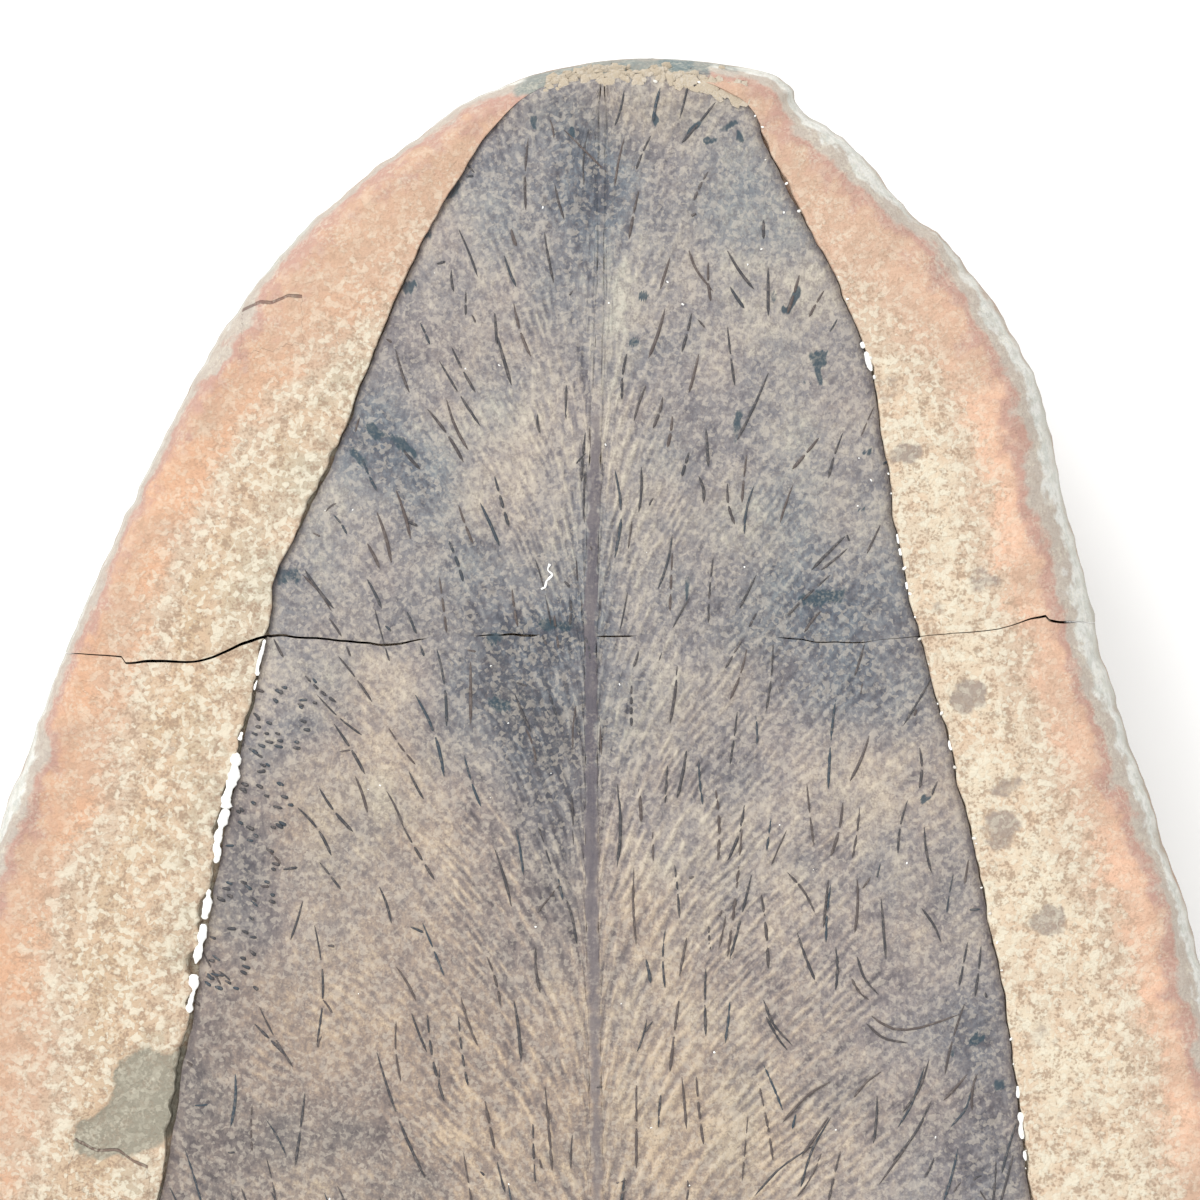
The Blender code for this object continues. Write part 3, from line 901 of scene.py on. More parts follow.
@dataclass
class Lamina:
    """Half of the pressed leaf blade, laid out along its veins."""

    form: PlateForm
    side: Side
    rows: int = 1040
    columns: int = 88
    veins: float = 250.0
    relief: float = 0.034
    start_share: float = 0.8
    ends: Pairs = field(default_factory=lambda: [
        (0, 0), (0.05, 0.14), (0.164, 0.356), (0.454, 0.613), (0.792, 0.915), (0.87, 0.955), (1, 1)])

    def _boundary(self) -> np.ndarray:
        """Margin of this half, from the foot of the midrib round to its top."""
        margin = self.form.margin
        bottom = int(margin[:, 1].argmin())
        if self.side is Side.RIGHT:
            return margin[:bottom + 1][::-1]
        return np.vstack([margin[bottom:], margin[:1]])

    def _courses(self) -> tuple[np.ndarray, np.ndarray]:
        """Lay the veins' courses.

        Returns:
            Places of every row and column in the plane, and the share of the margin at each row.
        """
        form = self.form
        share = np.linspace(0.006, 0.999, self.rows)
        foot, head = form.midrib_points[-1][0], form.midrib_points[0][0]
        y = foot + share * (head - foot)
        start = np.column_stack([
            form.midrib_x(y) + self.side.value * self.start_share * form.midrib_reach(y), y])
        boundary = self._boundary()
        reach = lengths_along(boundary)
        pairs = np.array(self.ends)
        smooth = np.interp(np.linspace(-0.05, 1.05, 221), *pairs.T)
        smooth[:10] = 2 * smooth[10] - smooth[20:10:-1]
        smooth = np.convolve(smooth, np.ones(9) / 9.0, mode="same")[10:-10]
        course = np.interp(share, np.linspace(0.0, 1.0, 201), smooth)
        course = np.clip(course, 0.001, 0.999)
        end = np.column_stack([np.interp(course * reach[-1], reach, axis) for axis in boundary.T])
        chord = end - start
        span = np.hypot(*chord.T)
        lean = np.arctan2(np.abs(chord[:, 0]), chord[:, 1])
        first = 0.25 * lean
        last = np.minimum(1.35 * lean, lean + math.radians(15.0))

        def heading(angle: np.ndarray) -> np.ndarray:
            """Unit direction at an angle out from the midrib."""
            return np.column_stack([self.side.value * np.sin(angle), np.cos(angle)])

        near = start + heading(first) * (0.30 * span)[:, None]
        far = end - heading(last) * (0.34 * span)[:, None]
        t = np.linspace(0.0, 1.0, self.columns)[None, :, None]
        a, b, c, d = (part[:, None, :] for part in (start, near, far, end))
        places = a * (1 - t) ** 3 + 3 * b * t * (1 - t) ** 2 + 3 * c * t ** 2 * (1 - t) + d * t ** 3
        return places, course

    def _ridges(self, places: np.ndarray, course: np.ndarray) -> np.ndarray:
        """Veins that fork twice on their way to the margin, from -1 in furrows to 1 on crests."""
        number = (course * self.veins)[:, None]
        t = np.linspace(0.0, 1.0, self.columns)[None, :]
        jitter = 0.10 * Noise(61).at(np.stack(
            [number[:, 0] / 4.0, np.zeros(self.rows)], axis=-1), 1.0, 1)[:, None]
        number = number + 0.6 * Noise(62).at(places, 2.6, 3)
        trunk = np.cos(2 * np.pi * number / 4.0)
        fork = -np.cos(2 * np.pi * number / 2.0)
        twig = np.cos(2 * np.pi * number)
        first = soft_step(t + jitter, 0.10, 0.26)
        second = soft_step(t + jitter, 0.30, 0.52)
        ridge = trunk * (1 - first) + fork * first * (1 - second) + twig * second
        along = lengths_along(places[self.rows // 2])[None, :]
        beads = np.dstack([number * 0.9, np.broadcast_to(along * 1.9, number.shape)])
        lumps = soft_step(Noise(65).at(beads, 1.0, 2), -0.5, 0.6)
        return ridge * (0.2 + 1.1 * lumps) + 0.6 * Noise(66).at(beads, 1.0, 2)

    def _snap(self, places: np.ndarray) -> np.ndarray:
        """Move one point of each row that crosses the break on to it.

        Args:
            places: Places in the plane, changed in place.

        Returns:
            For each place, 1 past the break towards the tip, -1 before it and 0 on it.
        """
        past = places[..., 1] - self.form.break_y(places[..., 0])
        sign = np.sign(past)
        crossing = (past[:, :-1] < 0.0) & (past[:, 1:] >= 0.0)
        for row, column in zip(*np.nonzero(crossing)):
            low, high = past[row, column], past[row, column + 1]
            share = -low / (high - low)
            spot = places[row, column] * (1 - share) + places[row, column + 1] * share
            chosen = column if share < 0.5 else column + 1
            places[row, chosen] = spot
            places[row, chosen, 1] = self.form.break_y(spot[0])
            sign[row, chosen] = 0.0
        return sign

    def build(self, dress: bpy.types.Material) -> list[bpy.types.Object]:
        """Make the half blade as one piece each side of the break.

        Args:
            dress: The leaf's material.

        Returns:
            The two finished pieces.
        """
        form = self.form
        places, course = self._courses()
        sign = self._snap(places)
        to_margin = form.to_margin.distance(places)
        ridge = self._ridges(places, course)
        ridge *= np.clip(0.22 + glow(VEINY, places) + 0.3 * Noise(63).at(places, 3.0, 2), 0.1, 1.0)
        height = form.leaf(places, to_margin)
        height += self.relief * ridge * (0.25 + 0.75 * soft_step(to_margin, 0.0, 0.5))
        height += 0.020 * Noise(64).at(places, 0.5, 2)
        blade = []
        for piece in Piece:
            moved = places.copy()
            on_break = sign == 0.0
            shift = piece.value * form.break_gap(moved[..., 0]) / 2.0
            moved[..., 1] += np.where(on_break, shift, 0.0)
            lowered = height - 0.03 * on_break
            draft = Draft()
            grid = draft.place(np.dstack([moved, lowered]))
            self._faces(draft, grid, sign * piece.value)
            fields = leaf_fields(form, places.reshape(-1, 2), to_margin.ravel())
            fields["ridge"] = ridge.ravel()
            name = f"leaf_{self.side.name.lower()}_{piece.word}"
            half = draft.finish(name, [dress], fields)
            add_floor_under(half, form.film_floor)
            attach(half, "root")
            blade.append(half)
        return blade

    def _faces(self, draft: Draft, grid: np.ndarray, sign: np.ndarray) -> None:
        """Add the faces on the positive side of the break, split along it where they cross."""
        corners, marks = quads(grid), quads(sign)
        whole = (marks.min(axis=1) >= 0) & (marks.max(axis=1) > 0)
        for quad in corners[whole].tolist():
            draft.polygon(quad)
        split = (marks.min(axis=1) < 0) & (marks.max(axis=1) > 0)
        for quad, mark in zip(corners[split].tolist(), marks[split].tolist()):
            if mark[0] == 0 and mark[2] == 0:
                halves = ((0, 1, 2), (0, 2, 3))
            elif mark[1] == 0 and mark[3] == 0:
                halves = ((1, 2, 3), (1, 3, 0))
            else:
                halves = ((0, 1, 2, 3),)
            for half in halves:
                if sum(mark[i] for i in half) > 0:
                    draft.polygon([quad[i] for i in half])


def leaf_fields(form: PlateForm, flat: np.ndarray, to_margin: np.ndarray) -> dict[str, np.ndarray]:
    """Work out the tones that the leaf's material reads at each place.

    Args:
        form: The plate's form.
        flat: Places in the plane.
        to_margin: Distance of each from the leaf's margin.

    Returns:
        Covers from 0 to 1 by name, and the distance to the margin in mm.
    """
    drawn = glow(LEAF_TONES, flat)
    tone = 0.54 + drawn + 0.12 * Noise(71).at(flat, 3.4, 3) + 0.10 * Noise(72).at(flat, 0.9, 3)
    blue = 0.30 * soft_step(flat[:, 1], 20.0, 42.0) - 1.7 * np.minimum(drawn, 0.0)
    blue = blue + glow(LEAF_BLUE, flat)
    ragged = 0.5 * Noise(73).at(flat, 0.45, 3)
    return {
        "tone": tone,
        "blue": np.clip(blue + 0.25 * Noise(76).at(flat, 2.4, 3), 0.0, 1.0),
        "brown": np.clip(glow(LEAF_BROWN, flat) + 0.2 * Noise(74).at(flat, 4.0, 3), 0.0, 1.0),
        "teal": covered(LEAF_TEAL, flat, 0.45, ragged),
        "seam": to_margin + form.blend(flat),
    }


@dataclass
class Midrib:
    """Smooth raised band down the middle of the leaf."""

    form: PlateForm
    spacing: float = 0.16
    columns: int = 13
    rise: float = 0.04
    sink: float = 0.12
    covers: Pairs = field(default_factory=lambda: [
        (58.95, 0.2), (45.5, 0.3), (42.5, 0.85), (39, 1), (30, 1), (25, 0.85), (20, 0.6), (10, 0.5),
        (-45.4, 0.8)])
    tones: Pairs = field(default_factory=lambda: [
        (58.95, 0.6), (50, 0.7), (45.5, 0.65), (43.2, 0.15), (40, 0), (36, 0.02), (30, 0.04), (25, 0.18),
        (20, 0.42), (16, 0.2), (10, 0.34), (-45.4, 0.4)])

    def build(self, dress: bpy.types.Material) -> list[bpy.types.Object]:
        """Make the midrib as one piece each side of the break.

        Args:
            dress: The leaf's material, which also paints the midrib.

        Returns:
            The two finished pieces.
        """
        form = self.form
        head, foot = form.midrib_points[0][0], form.midrib_points[-1][0]
        middle = float(form.break_y(form.midrib_x(np.array([form.break_level])))[0])
        made = []
        for piece, far in ((Piece.TIP, head), (Piece.BASE, foot)):
            rows = int(abs(far - middle) / self.spacing)
            y = np.linspace(far, middle, rows + 1)
            across = np.linspace(-1.0, 1.0, self.columns)
            half = form.midrib_reach(y) * (1.0 + 0.26 * Noise(81).at(np.stack([y, y], axis=-1), 0.9, 3))
            taper = soft_step(np.abs(y - far), 0.0, 1.2)
            x = form.midrib_x(y)[:, None] + across[None] * (half * (0.35 + 0.65 * taper))[:, None]
            flat = np.dstack([x, np.broadcast_to(y[:, None], x.shape)])
            line = form.break_y(x[-1]) + piece.value * form.break_gap(x[-1]) / 2.0
            weight = np.clip(1.0 - np.arange(rows + 1)[::-1] / 12.0, 0.0, 1.0) ** 2
            flat[..., 1] += weight[:, None] * (line - flat[-1, :, 1])[None]
            to_margin = form.to_margin.distance(flat)
            profile = self.rise * (1.0 - across ** 4) - self.sink * np.abs(across) ** 9
            cover = by_height(self.covers, y)[:, None]
            height = form.leaf(flat, to_margin) + profile * (0.2 + 0.8 * cover)
            streaks = Noise(82).at(np.dstack([flat[..., 0] * 9.0, flat[..., 1] * 0.7]), 1.0, 2)
            height += 0.010 * streaks + 0.012 * Noise(83).at(flat, 0.8, 2)
            draft = Draft()
            draft.sheet(draft.place(np.dstack([flat, height])))
            fields = leaf_fields(form, flat.reshape(-1, 2), to_margin.ravel())
            depth = by_height(self.tones, flat[..., 1]) + 0.16 * Noise(84).at(flat, 1.2, 3)
            ragged = np.abs(across)[None] + 0.4 * Noise(85).at(flat, 0.5, 2)
            fields["rib"] = (cover * soft_step(ragged, 1.15, 0.25)).ravel()
            fields["depth"] = depth.ravel()
            band = draft.finish(f"midrib_{piece.word}", [dress], fields)
            add_floor_under(band, form.film_floor)
            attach(band, "root")
            made.append(band)
        return made


# ---------------------------------------------------------------- small things on the face


class Bundle(Draft):
    """Many small closed forms joined in one mesh, each with a tone of its own."""

    def __init__(self) -> None:
        """Start with nothing."""
        super().__init__()
        self.tones: list[float] = []

    def _close(self, rings: np.ndarray, tone: float) -> None:
        """Skin rings of points, one after another, and cap both ends.

        Args:
            rings: Places, ring by ring.
            tone: Value stored at them.
        """
        grid = self.place(rings)
        self.sheet(np.hstack([grid, grid[:, :1]]))
        self.polygon(grid[0].tolist())
        self.polygon(grid[-1][::-1].tolist())
        self.tones += [tone] * grid.size

    def strand(self, path: np.ndarray, width: np.ndarray, flatness: float, tone: float,
               sides: int = 6) -> None:
        """Add a closed strand along a path.

        Args:
            path: Places down its middle, with x, y and z.
            width: Half width at each place.
            flatness: Height as a share of the width.
            tone: Value stored at its points.
            sides: Points round it.
        """
        along = np.gradient(path, axis=0)
        along /= np.linalg.norm(along, axis=1)[:, None]
        across = np.column_stack([along[:, 1], -along[:, 0], np.zeros(len(path))])
        across /= np.linalg.norm(across, axis=1)[:, None]
        up = np.cross(across, along)
        turns = np.linspace(0.0, 2.0 * np.pi, sides, endpoint=False)
        ring = (across[:, None] * np.cos(turns)[None, :, None]
                + up[:, None] * np.sin(turns)[None, :, None] * flatness)
        self._close(path[:, None] + ring * width[:, None, None], tone)

    def grain(self, centre: np.ndarray, size: np.ndarray, turn: float, tone: float,
              rough: np.random.Generator) -> None:
        """Add an angular flattened grain.

        Args:
            centre: Its middle.
            size: Half sizes along, across and up.
            turn: Turn in the plane, in radians.
            tone: Value stored at its points.
            rough: Source of its unevenness.
        """
        rings = []
        for rise, shrink in ((-0.9, 0.45), (-0.3, 0.95), (0.35, 0.9), (0.9, 0.4)):
            turns = np.arange(7) / 7.0 * 2.0 * np.pi
            reach = shrink * rough.uniform(0.72, 1.2, 7)
            x = np.cos(turns) * reach * size[0]
            y = np.sin(turns) * reach * size[1]
            rings.append(np.column_stack([
                x * math.cos(turn) - y * math.sin(turn), x * math.sin(turn) + y * math.cos(turn),
                np.full(7, rise * size[2])]) + centre)
        self._close(np.stack(rings), tone)

    def bind(self, name: str, dress: bpy.types.Material, slot: str) -> bpy.types.Object:
        """Join everything into one piece that rides on the plate."""
        piece = self.finish(name, [dress], {"tone": np.array(self.tones)}, sharp=60.0)
        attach(piece, "root")
        return piece


STRAIGHT_HAIRS = [
    (-1.2, 56.5, -1.3, 53.5), (-0.1, 54.6, 0.3, 53.1), (-1.9, 52.7, -1.7, 52), (-4.1, 52.7, -3.3, 50.7),
    (-2.2, 51.6, -1.7, 50.3), (-4.4, 51, -4.3, 50.1), (-3.8, 50.1, -3.8, 49.1), (-5.7, 48.8, -5.3, 47.9),
    (-1.8, 49.6, -1.1, 47.4), (-2.6, 49.2, -2.5, 47.9), (-4.4, 47.8, -3.4, 45.9),
    (-4.9, 47.2, -3.2, 44.5), (-2.5, 48.3, -1.9, 46.2), (0.4, 46.2, 0.4, 44.7), (-5.4, 45.2, -3.9, 43),
    (-4.6, 45.6, -3.7, 43.5), (-0.8, 45, -0.7, 44.2), (-8.1, 43.1, -7.5, 41.8), (-6.7, 41.8, -6.1, 39.8),
    (-6.4, 43.5, -5.7, 42.7), (-7.5, 40.9, -6.9, 38.8), (-4.1, 41.2, -3.5, 39.6),
    (-3.2, 41.3, -2.4, 39.5), (-2.6, 42.4, -2, 40.3), (-4.5, 39.7, -3.9, 38), (-10.5, 38.5, -9.3, 36.9),
    (-7.9, 39.6, -7.4, 38.6), (-7.9, 38.1, -7.3, 36.9), (-9.5, 36.5, -8.6, 34.9),
    (-4.9, 38.2, -4.6, 35.9), (-10.5, 34.1, -9.2, 33), (-9.1, 34.9, -7.7, 33), (-10, 33.3, -8.1, 31.6),
    (-9.9, 29.4, -8.5, 27.6), (-10.8, 28.6, -9.4, 26.6), (-7, 31.9, -5.9, 30.4),
    (-5.9, 33.3, -4.7, 29.9), (-5, 35.2, -4.6, 32), (-3.6, 34.7, -3.6, 32.1), (-7.1, 29.3, -6.4, 27.8),
    (-6.4, 27.8, -5.1, 25.6), (-7.4, 25.3, -6.9, 23.8), (-5.6, 23.8, -4.7, 21.6),
    (-2.6, 26.9, -1.9, 24.5), (-1.7, 27.7, -1.4, 25.8), (-10.6, 24.7, -11.1, 23.1),
    (-10.1, 23.7, -10, 18.8), (-4, 20.7, -3.3, 18.7), (-5.4, 20, -4.7, 16.4), (-1.8, 20.6, -1.5, 18),
    (-4.1, 19.9, -3.7, 17), (-6.7, 19.7, -6.5, 17.2), (-7.5, 18.4, -5.5, 13.2),
    (-10.5, 16.7, -10.9, 13.7), (-12.7, 16.2, -12.7, 14.3), (-13.4, 17.5, -13.6, 15.3),
    (-12.6, 19.6, -11.3, 18.3), (-12.4, 20.3, -11, 17.8), (-9.3, 32.1, -8, 30), (-8.4, 29.9, -7.9, 28.4),
    (-0.5, 17, -0.2, 13.5), (-1, 15.6, -0.9, 13), (-3, 16.4, -2.6, 14.4), (-0.9, 22.8, -0.7, 20.9),
    (4.3, 58.6, 4, 57.2), (2.8, 58.5, 2.4, 57), (6.6, 58, 5.2, 56.3), (2.8, 56.5, 2.4, 54.5),
    (3.9, 56.6, 3.3, 55.2), (6.3, 55.1, 5.7, 53.9), (3.4, 54.3, 3, 52.3), (8.6, 53.1, 8.6, 52.3),
    (4.7, 51.5, 4.3, 50.2), (6.3, 51.3, 6.4, 49.7), (7.1, 51.8, 8.2, 50.2), (7.2, 50.3, 7.8, 49.4),
    (8.8, 51.1, 8.8, 49.1), (10.1, 50.8, 9.6, 49.2), (4.5, 49.4, 3.8, 47.3), (5.6, 49.2, 5.2, 47.6),
    (7.1, 48.6, 7.4, 46.2), (5.9, 47.5, 5.5, 45.9), (8.8, 46.7, 7.5, 43.9), (3.7, 46.2, 3.2, 44.7),
    (4.4, 45.7, 4, 44.4), (2.9, 47.5, 2.7, 45.6), (4.8, 44.9, 4.6, 43.6), (6.2, 44.4, 6.3, 42.8),
    (5.5, 43.4, 5.2, 42.4), (7.9, 43.3, 7.7, 41.3), (10.9, 44, 9.8, 42.7), (11.9, 44.2, 11.3, 42.3),
    (5.9, 42.4, 6.1, 41.3), (3.5, 42.8, 3.4, 40.9), (2.4, 42.7, 2.4, 39), (7.1, 42.1, 7.4, 40.4),
    (8.2, 42, 7.8, 40), (12, 39.9, 10.6, 38.5), (12.1, 39.4, 11, 38.5), (11.4, 38.3, 9.6, 36.6),
    (4.8, 40, 4.2, 37.7), (4.8, 39.2, 4.7, 36.8), (6.5, 39, 6.3, 35.9), (8.3, 38.3, 7.6, 36.9),
    (8.3, 36.7, 7, 34.4), (11, 36.8, 10.3, 35.9), (7.9, 35.2, 7.2, 33.1), (9, 35.4, 8.7, 32.6),
    (12.8, 35.4, 12.4, 34.1), (11.6, 33.1, 11.3, 29.4), (13, 31.6, 12.2, 29.7), (15.1, 31.1, 15.1, 29.4),
    (7.5, 32.6, 7.2, 30.4), (5, 34.5, 4.7, 32.1), (3.1, 33.7, 3.1, 32), (5.4, 31.1, 5, 29),
    (5.9, 30.6, 6.1, 28.6), (4.6, 30.4, 4.5, 28.8), (3.4, 29.4, 3.5, 28), (2.5, 29.6, 2.5, 26.1),
    (6.6, 29.4, 6.7, 26.4), (7.8, 28.7, 7.1, 26.4), (10.4, 29.6, 10.7, 27), (11.9, 28.8, 11.4, 26.6),
    (12.6, 28.6, 12.3, 26.5), (14.6, 28.9, 14.2, 26.7), (15.3, 27.8, 15.6, 25.9), (7.7, 27.7, 7.1, 22.4),
    (8.1, 25.8, 7.2, 22.3), (8.5, 25, 8.8, 21.9), (11.4, 25.4, 11.2, 23), (12.5, 25.6, 12.4, 23.4),
    (13.5, 24.8, 13.7, 22.3), (10, 23.4, 10.8, 21.3), (11.6, 22.8, 11.6, 21), (4.9, 26.2, 5.1, 24),
    (3.2, 26.1, 3.3, 22.9), (3.7, 22.3, 3.9, 21.3), (4.5, 23.5, 4.5, 21.1), (5.4, 23.2, 5.1, 21.6),
    (6.2, 21.9, 6.2, 19.1), (5.1, 20.8, 4.7, 17.6), (7.2, 20.6, 7, 18.8), (8.6, 17.9, 9.4, 16),
    (8.4, 17.1, 9, 13.9), (5.2, 17.4, 5.4, 15.2), (5.8, 17.4, 6.1, 14.6), (3.3, 17.2, 3.3, 13.6),
    (11.8, 14.3, 11.3, 12.2), (11.3, 15.7, 10.2, 14.1), (11, 14.2, 10, 12.4), (16.7, 14.4, 16.1, 12.2),
    (15.7, 14, 15.3, 13.2), (17.1, 17.5, 16.1, 16.4), (17.5, 17.5, 17.3, 16), (5.4, 13.3, 5.4, 12.2),
]


@dataclass
class Hairs:
    """Dark hairs of the leaf's underside, pressed flat on the blade."""

    form: PlateForm
    spacing: float = 1.42
    seed: int = 7
    long: tuple[float, float] = (0.9, 3.4)
    thick: tuple[float, float] = (0.034, 0.058)
    bold: tuple[float, float] = (0.046, 0.070)
    known_from: float = 12.0
    stray: float = 0.05
    dashes: int = 520
    rows_of_dots: int = 84
    calm: float = 0.75
    drawn: tuple[Pairs, ...] = (
        [(8.6, 20.6), (9.0, 19.6), (9.8, 18.7)], [(8.7, 19.9), (9.2, 19.0), (9.6, 18.5)],
        [(12.5, 22.4), (12.8, 21.5), (13.4, 20.8)], [(12.2, 21.6), (12.6, 20.9), (13.0, 20.6)],
        [(12.9, 19.6), (13.6, 19.0), (14.6, 18.8)], [(13.0, 20.0), (13.9, 19.4), (15.0, 19.4), (16.8, 20.0)],
        [(12.3, 16.4), (12.8, 17.1), (13.5, 17.6)], [(14.4, 15.9), (15.1, 16.9), (15.5, 18.1)],
        [(14.2, 15.3), (14.8, 16.3), (15.3, 17.8)], [(13.4, 12.9), (14.2, 14.0), (15.3, 15.6)],
        [(14.0, 13.9), (14.9, 15.0), (15.6, 16.4)], [(10.1, 12.6), (10.6, 14.3), (11.4, 15.7)],
        [(9.4, 15.5), (10.4, 16.6), (11.4, 17.2)], [(9.6, 25.9), (10.3, 25.1), (10.8, 24.1)],
        [(11.1, 23.6), (11.2, 24.7), (11.3, 25.6)], [(15.2, 24.4), (15.7, 23.7), (16.0, 23.0)],
        [(16.4, 15.3), (17.0, 16.0), (17.3, 16.9)], [(-10.6, 38.3), (-9.9, 37.6), (-9.4, 36.8)],
        [(8.2, 12.4), (9.3, 13.6), (10.8, 14.6)], [(5.5, 51.8), (5.8, 51.0), (6.5, 50.1)])

    def _lean(self, x: float, y: float) -> float:
        """Usual lean of a hair out from the midrib's direction, in degrees, right positive."""
        out = x - float(self.form.midrib_x(np.array([y]))[0])
        if out < 0.0:
            calm = 1.0 - 0.6 * float(soft_step(np.array(y), 26.0, 16.0))
            return -(5.0 + 30.0 * calm * min(1.0, -out / 10.5))
        calm = 1.0 - self.calm * float(soft_step(np.array(y), 38.0, 26.0))
        return 4.0 + (24.0 * calm) * min(1.0, out / 10.0)

    def _spots(self, rough: np.random.Generator) -> np.ndarray:
        """Scatter places for the hairs over the leaf, jittered from an even grid."""
        low, high = self.form.margin.min(axis=0), self.form.margin.max(axis=0)
        x, y = np.meshgrid(*(np.arange(a, b, self.spacing) for a, b in zip(low, high)))
        spots = np.column_stack([x.ravel(), y.ravel()])
        spots += rough.uniform(-0.85, 0.85, spots.shape) * self.spacing
        spots = spots[inside_loop(self.form.margin, spots)]
        out = spots[:, 0] - self.form.midrib_x(spots[:, 1])
        crowd = 0.62 + 0.5 * Noise(75).at(spots, 4.0, 2) + 0.4 * np.exp(-(out / 3.5) ** 2)
        known = np.array(STRAIGHT_HAIRS).reshape(-1, 2, 2)
        curved = [np.array(points) for points in self.drawn]
        known = np.concatenate([known[:, 0], known.mean(axis=1), known[:, 1], *curved])
        free = np.linalg.norm(spots[:, None] - known[None], axis=-1).min(axis=1) > 0.9
        crowd *= np.where(spots[:, 1] > self.known_from, 0.42 * free, 1.0)
        return spots[rough.random(len(spots)) < crowd]

    def _courses(self, rough: np.random.Generator) -> list[tuple[np.ndarray, float, float, int]]:
        """Course, half width, tone and number of stretches of every hair."""
        spots = self._spots(rough)
        to_margin = self.form.to_margin.distance(spots)
        courses = []
        for (x, y), edge in zip(spots, to_margin):
            if edge < 0.45:
                continue
            length = rough.uniform(*self.long) * (0.45 + 0.55 * rough.random())
            lean = self._lean(x, y) + rough.normal(0.0, 6.0)
            if rough.random() < self.stray:
                lean += rough.uniform(-50.0, 50.0)
            parts = 1 + int(rough.random() < 0.34) + int(rough.random() < 0.12)
            path = self._curve(x, y, length, lean, rough.normal(0.0, 5.0))
            courses.append((path, rough.uniform(*self.thick), rough.random(), parts))
        for points in self.drawn:
            courses.append((spaced(smooth_path(points, steps=8), 9), 0.052, rough.random(), 1))
        t = np.linspace(0.0, 1.0, 9)[:, None]
        for hair in STRAIGHT_HAIRS:
            tip, foot = np.array(hair).reshape(2, 2)
            run = tip - foot
            bow = np.array([run[1], -run[0]]) * rough.normal(0.0, 0.03) * np.sin(np.pi * t)
            parts = 1 + min(3, rough.poisson(0.35 * float(np.hypot(*run))))
            courses.append((foot + run * t + bow, rough.uniform(*self.bold), rough.random(), parts))
        for _ in range(self.dashes):
            x, y = rough.uniform(-16.0, 19.0), rough.uniform(-38.0, 57.0)
            edge = float(self.form.to_margin.distance(np.array([[x, y]]))[0])
            near = 0.18 + math.exp(-edge / 1.6) * (1.0 if x < 0.0 else 0.45)
            if rough.random() > near or not inside_loop(self.form.margin, np.array([[x, y]]))[0]:
                continue
            lean = rough.normal(-55.0, 35.0) if x < 0.0 else rough.normal(35.0, 45.0)
            path = self._curve(x, y, rough.uniform(0.22, 0.65), lean, rough.normal(0.0, 10.0))
            courses.append((path, rough.uniform(0.035, 0.06), rough.random(), 1))
        side = self.form.arcs(self.form.margin)[Side.LEFT, Piece.BASE]
        side = side[np.argsort(side[:, 1])]
        for _ in range(self.rows_of_dots):
            y = rough.uniform(21.0, 34.0)
            x = float(np.interp(y, *side.T[::-1])) + 0.3 + 2.3 * rough.random() ** 1.4
            path = self._curve(x, y, rough.uniform(0.2, 0.42), rough.normal(-68.0, 12.0), 0.0)
            courses.append((path, rough.uniform(0.05, 0.08), rough.uniform(0.6, 1.0), 1))
        return courses

    @staticmethod
    def _curve(x: float, y: float, length: float, lean: float, bend: float) -> np.ndarray:
        """Slightly curved course about a place, from its foot up to its tip."""
        t = np.linspace(-0.5, 0.5, 9)
        angle = np.radians(lean + bend * t * 2.0)
        steps = np.column_stack([np.sin(angle), np.cos(angle)]) * length / 8.0
        return np.array([x, y]) + np.cumsum(steps, axis=0) - steps.sum(axis=0) / 2.0

    def build(self, dress: bpy.types.Material) -> list[bpy.types.Object]:
        """Lay the hairs, in one joined piece each side of the break.

        Args:
            dress: The hairs' material.

        Returns:
            The two finished pieces.
        """
        courses = self._courses(np.random.default_rng(self.seed))
        flat = np.array([course[0] for course in courses])
        ground = self.form.leaf(flat, self.form.to_margin.distance(flat))
        ground += 0.020 * Noise(64).at(flat, 0.5, 2) + 0.010
        past = flat[..., 1] - self.form.break_y(flat[..., 0])
        bundles = {piece: Bundle() for piece in Piece}
        for path, level, beyond, (_, thick, tone, parts) in zip(flat, ground, past, courses):
            for piece in Piece:
                kept = beyond * piece.value > 0.04
                if kept.sum() >= 3:
                    self._lay(bundles[piece], np.column_stack([path, level])[kept], parts, thick, tone)
        return [bundles[piece].bind(f"leaf_hairs_{piece.word}", dress, "leaf_hairs") for piece in Piece]

    @staticmethod
    def _lay(bundle: Bundle, line: np.ndarray, parts: int, thick: float, tone: float) -> None:
        """Lay a hair in one or more stretches, tapered to its tip.

        Args:
            bundle: Where the stretches are added.
            line: Places down its middle, with x, y and z.
            parts: Number of stretches.
            thick: Half width near its foot.
            tone: Value stored at its points.
        """
        reach = np.linspace(0.0, 1.0, len(line))
        gap = 0.04 if parts > 1 else 0.0
        for part in range(parts):
            low, high = part / parts + gap * (part > 0), (part + 1) / parts - gap * (part < parts - 1)
            where = np.linspace(low, high, 8 if parts == 1 else 6)
            path = np.column_stack([np.interp(where, reach, axis) for axis in line.T])
            taper = np.clip(np.minimum(where / 0.10, (1.0 - where) / 0.5), 0.0, 1.0)
            width = thick * (0.35 + 0.65 * np.sqrt(taper))
            width[[0, -1]] *= 0.5
            bundle.strand(path, width, 0.75, tone)


def inside_loop(loop: np.ndarray, spots: np.ndarray) -> np.ndarray:
    """Whether each spot is inside a closed loop."""
    x, y = spots.T
    inside = np.zeros(len(spots), bool)
    for (ax, ay), (bx, by) in zip(loop, np.roll(loop, -1, axis=0)):
        if ay == by:
            continue
        meets = (ay > y) != (by > y)
        inside ^= meets & (x < (bx - ax) * (y - ay) / (by - ay) + ax)
    return inside


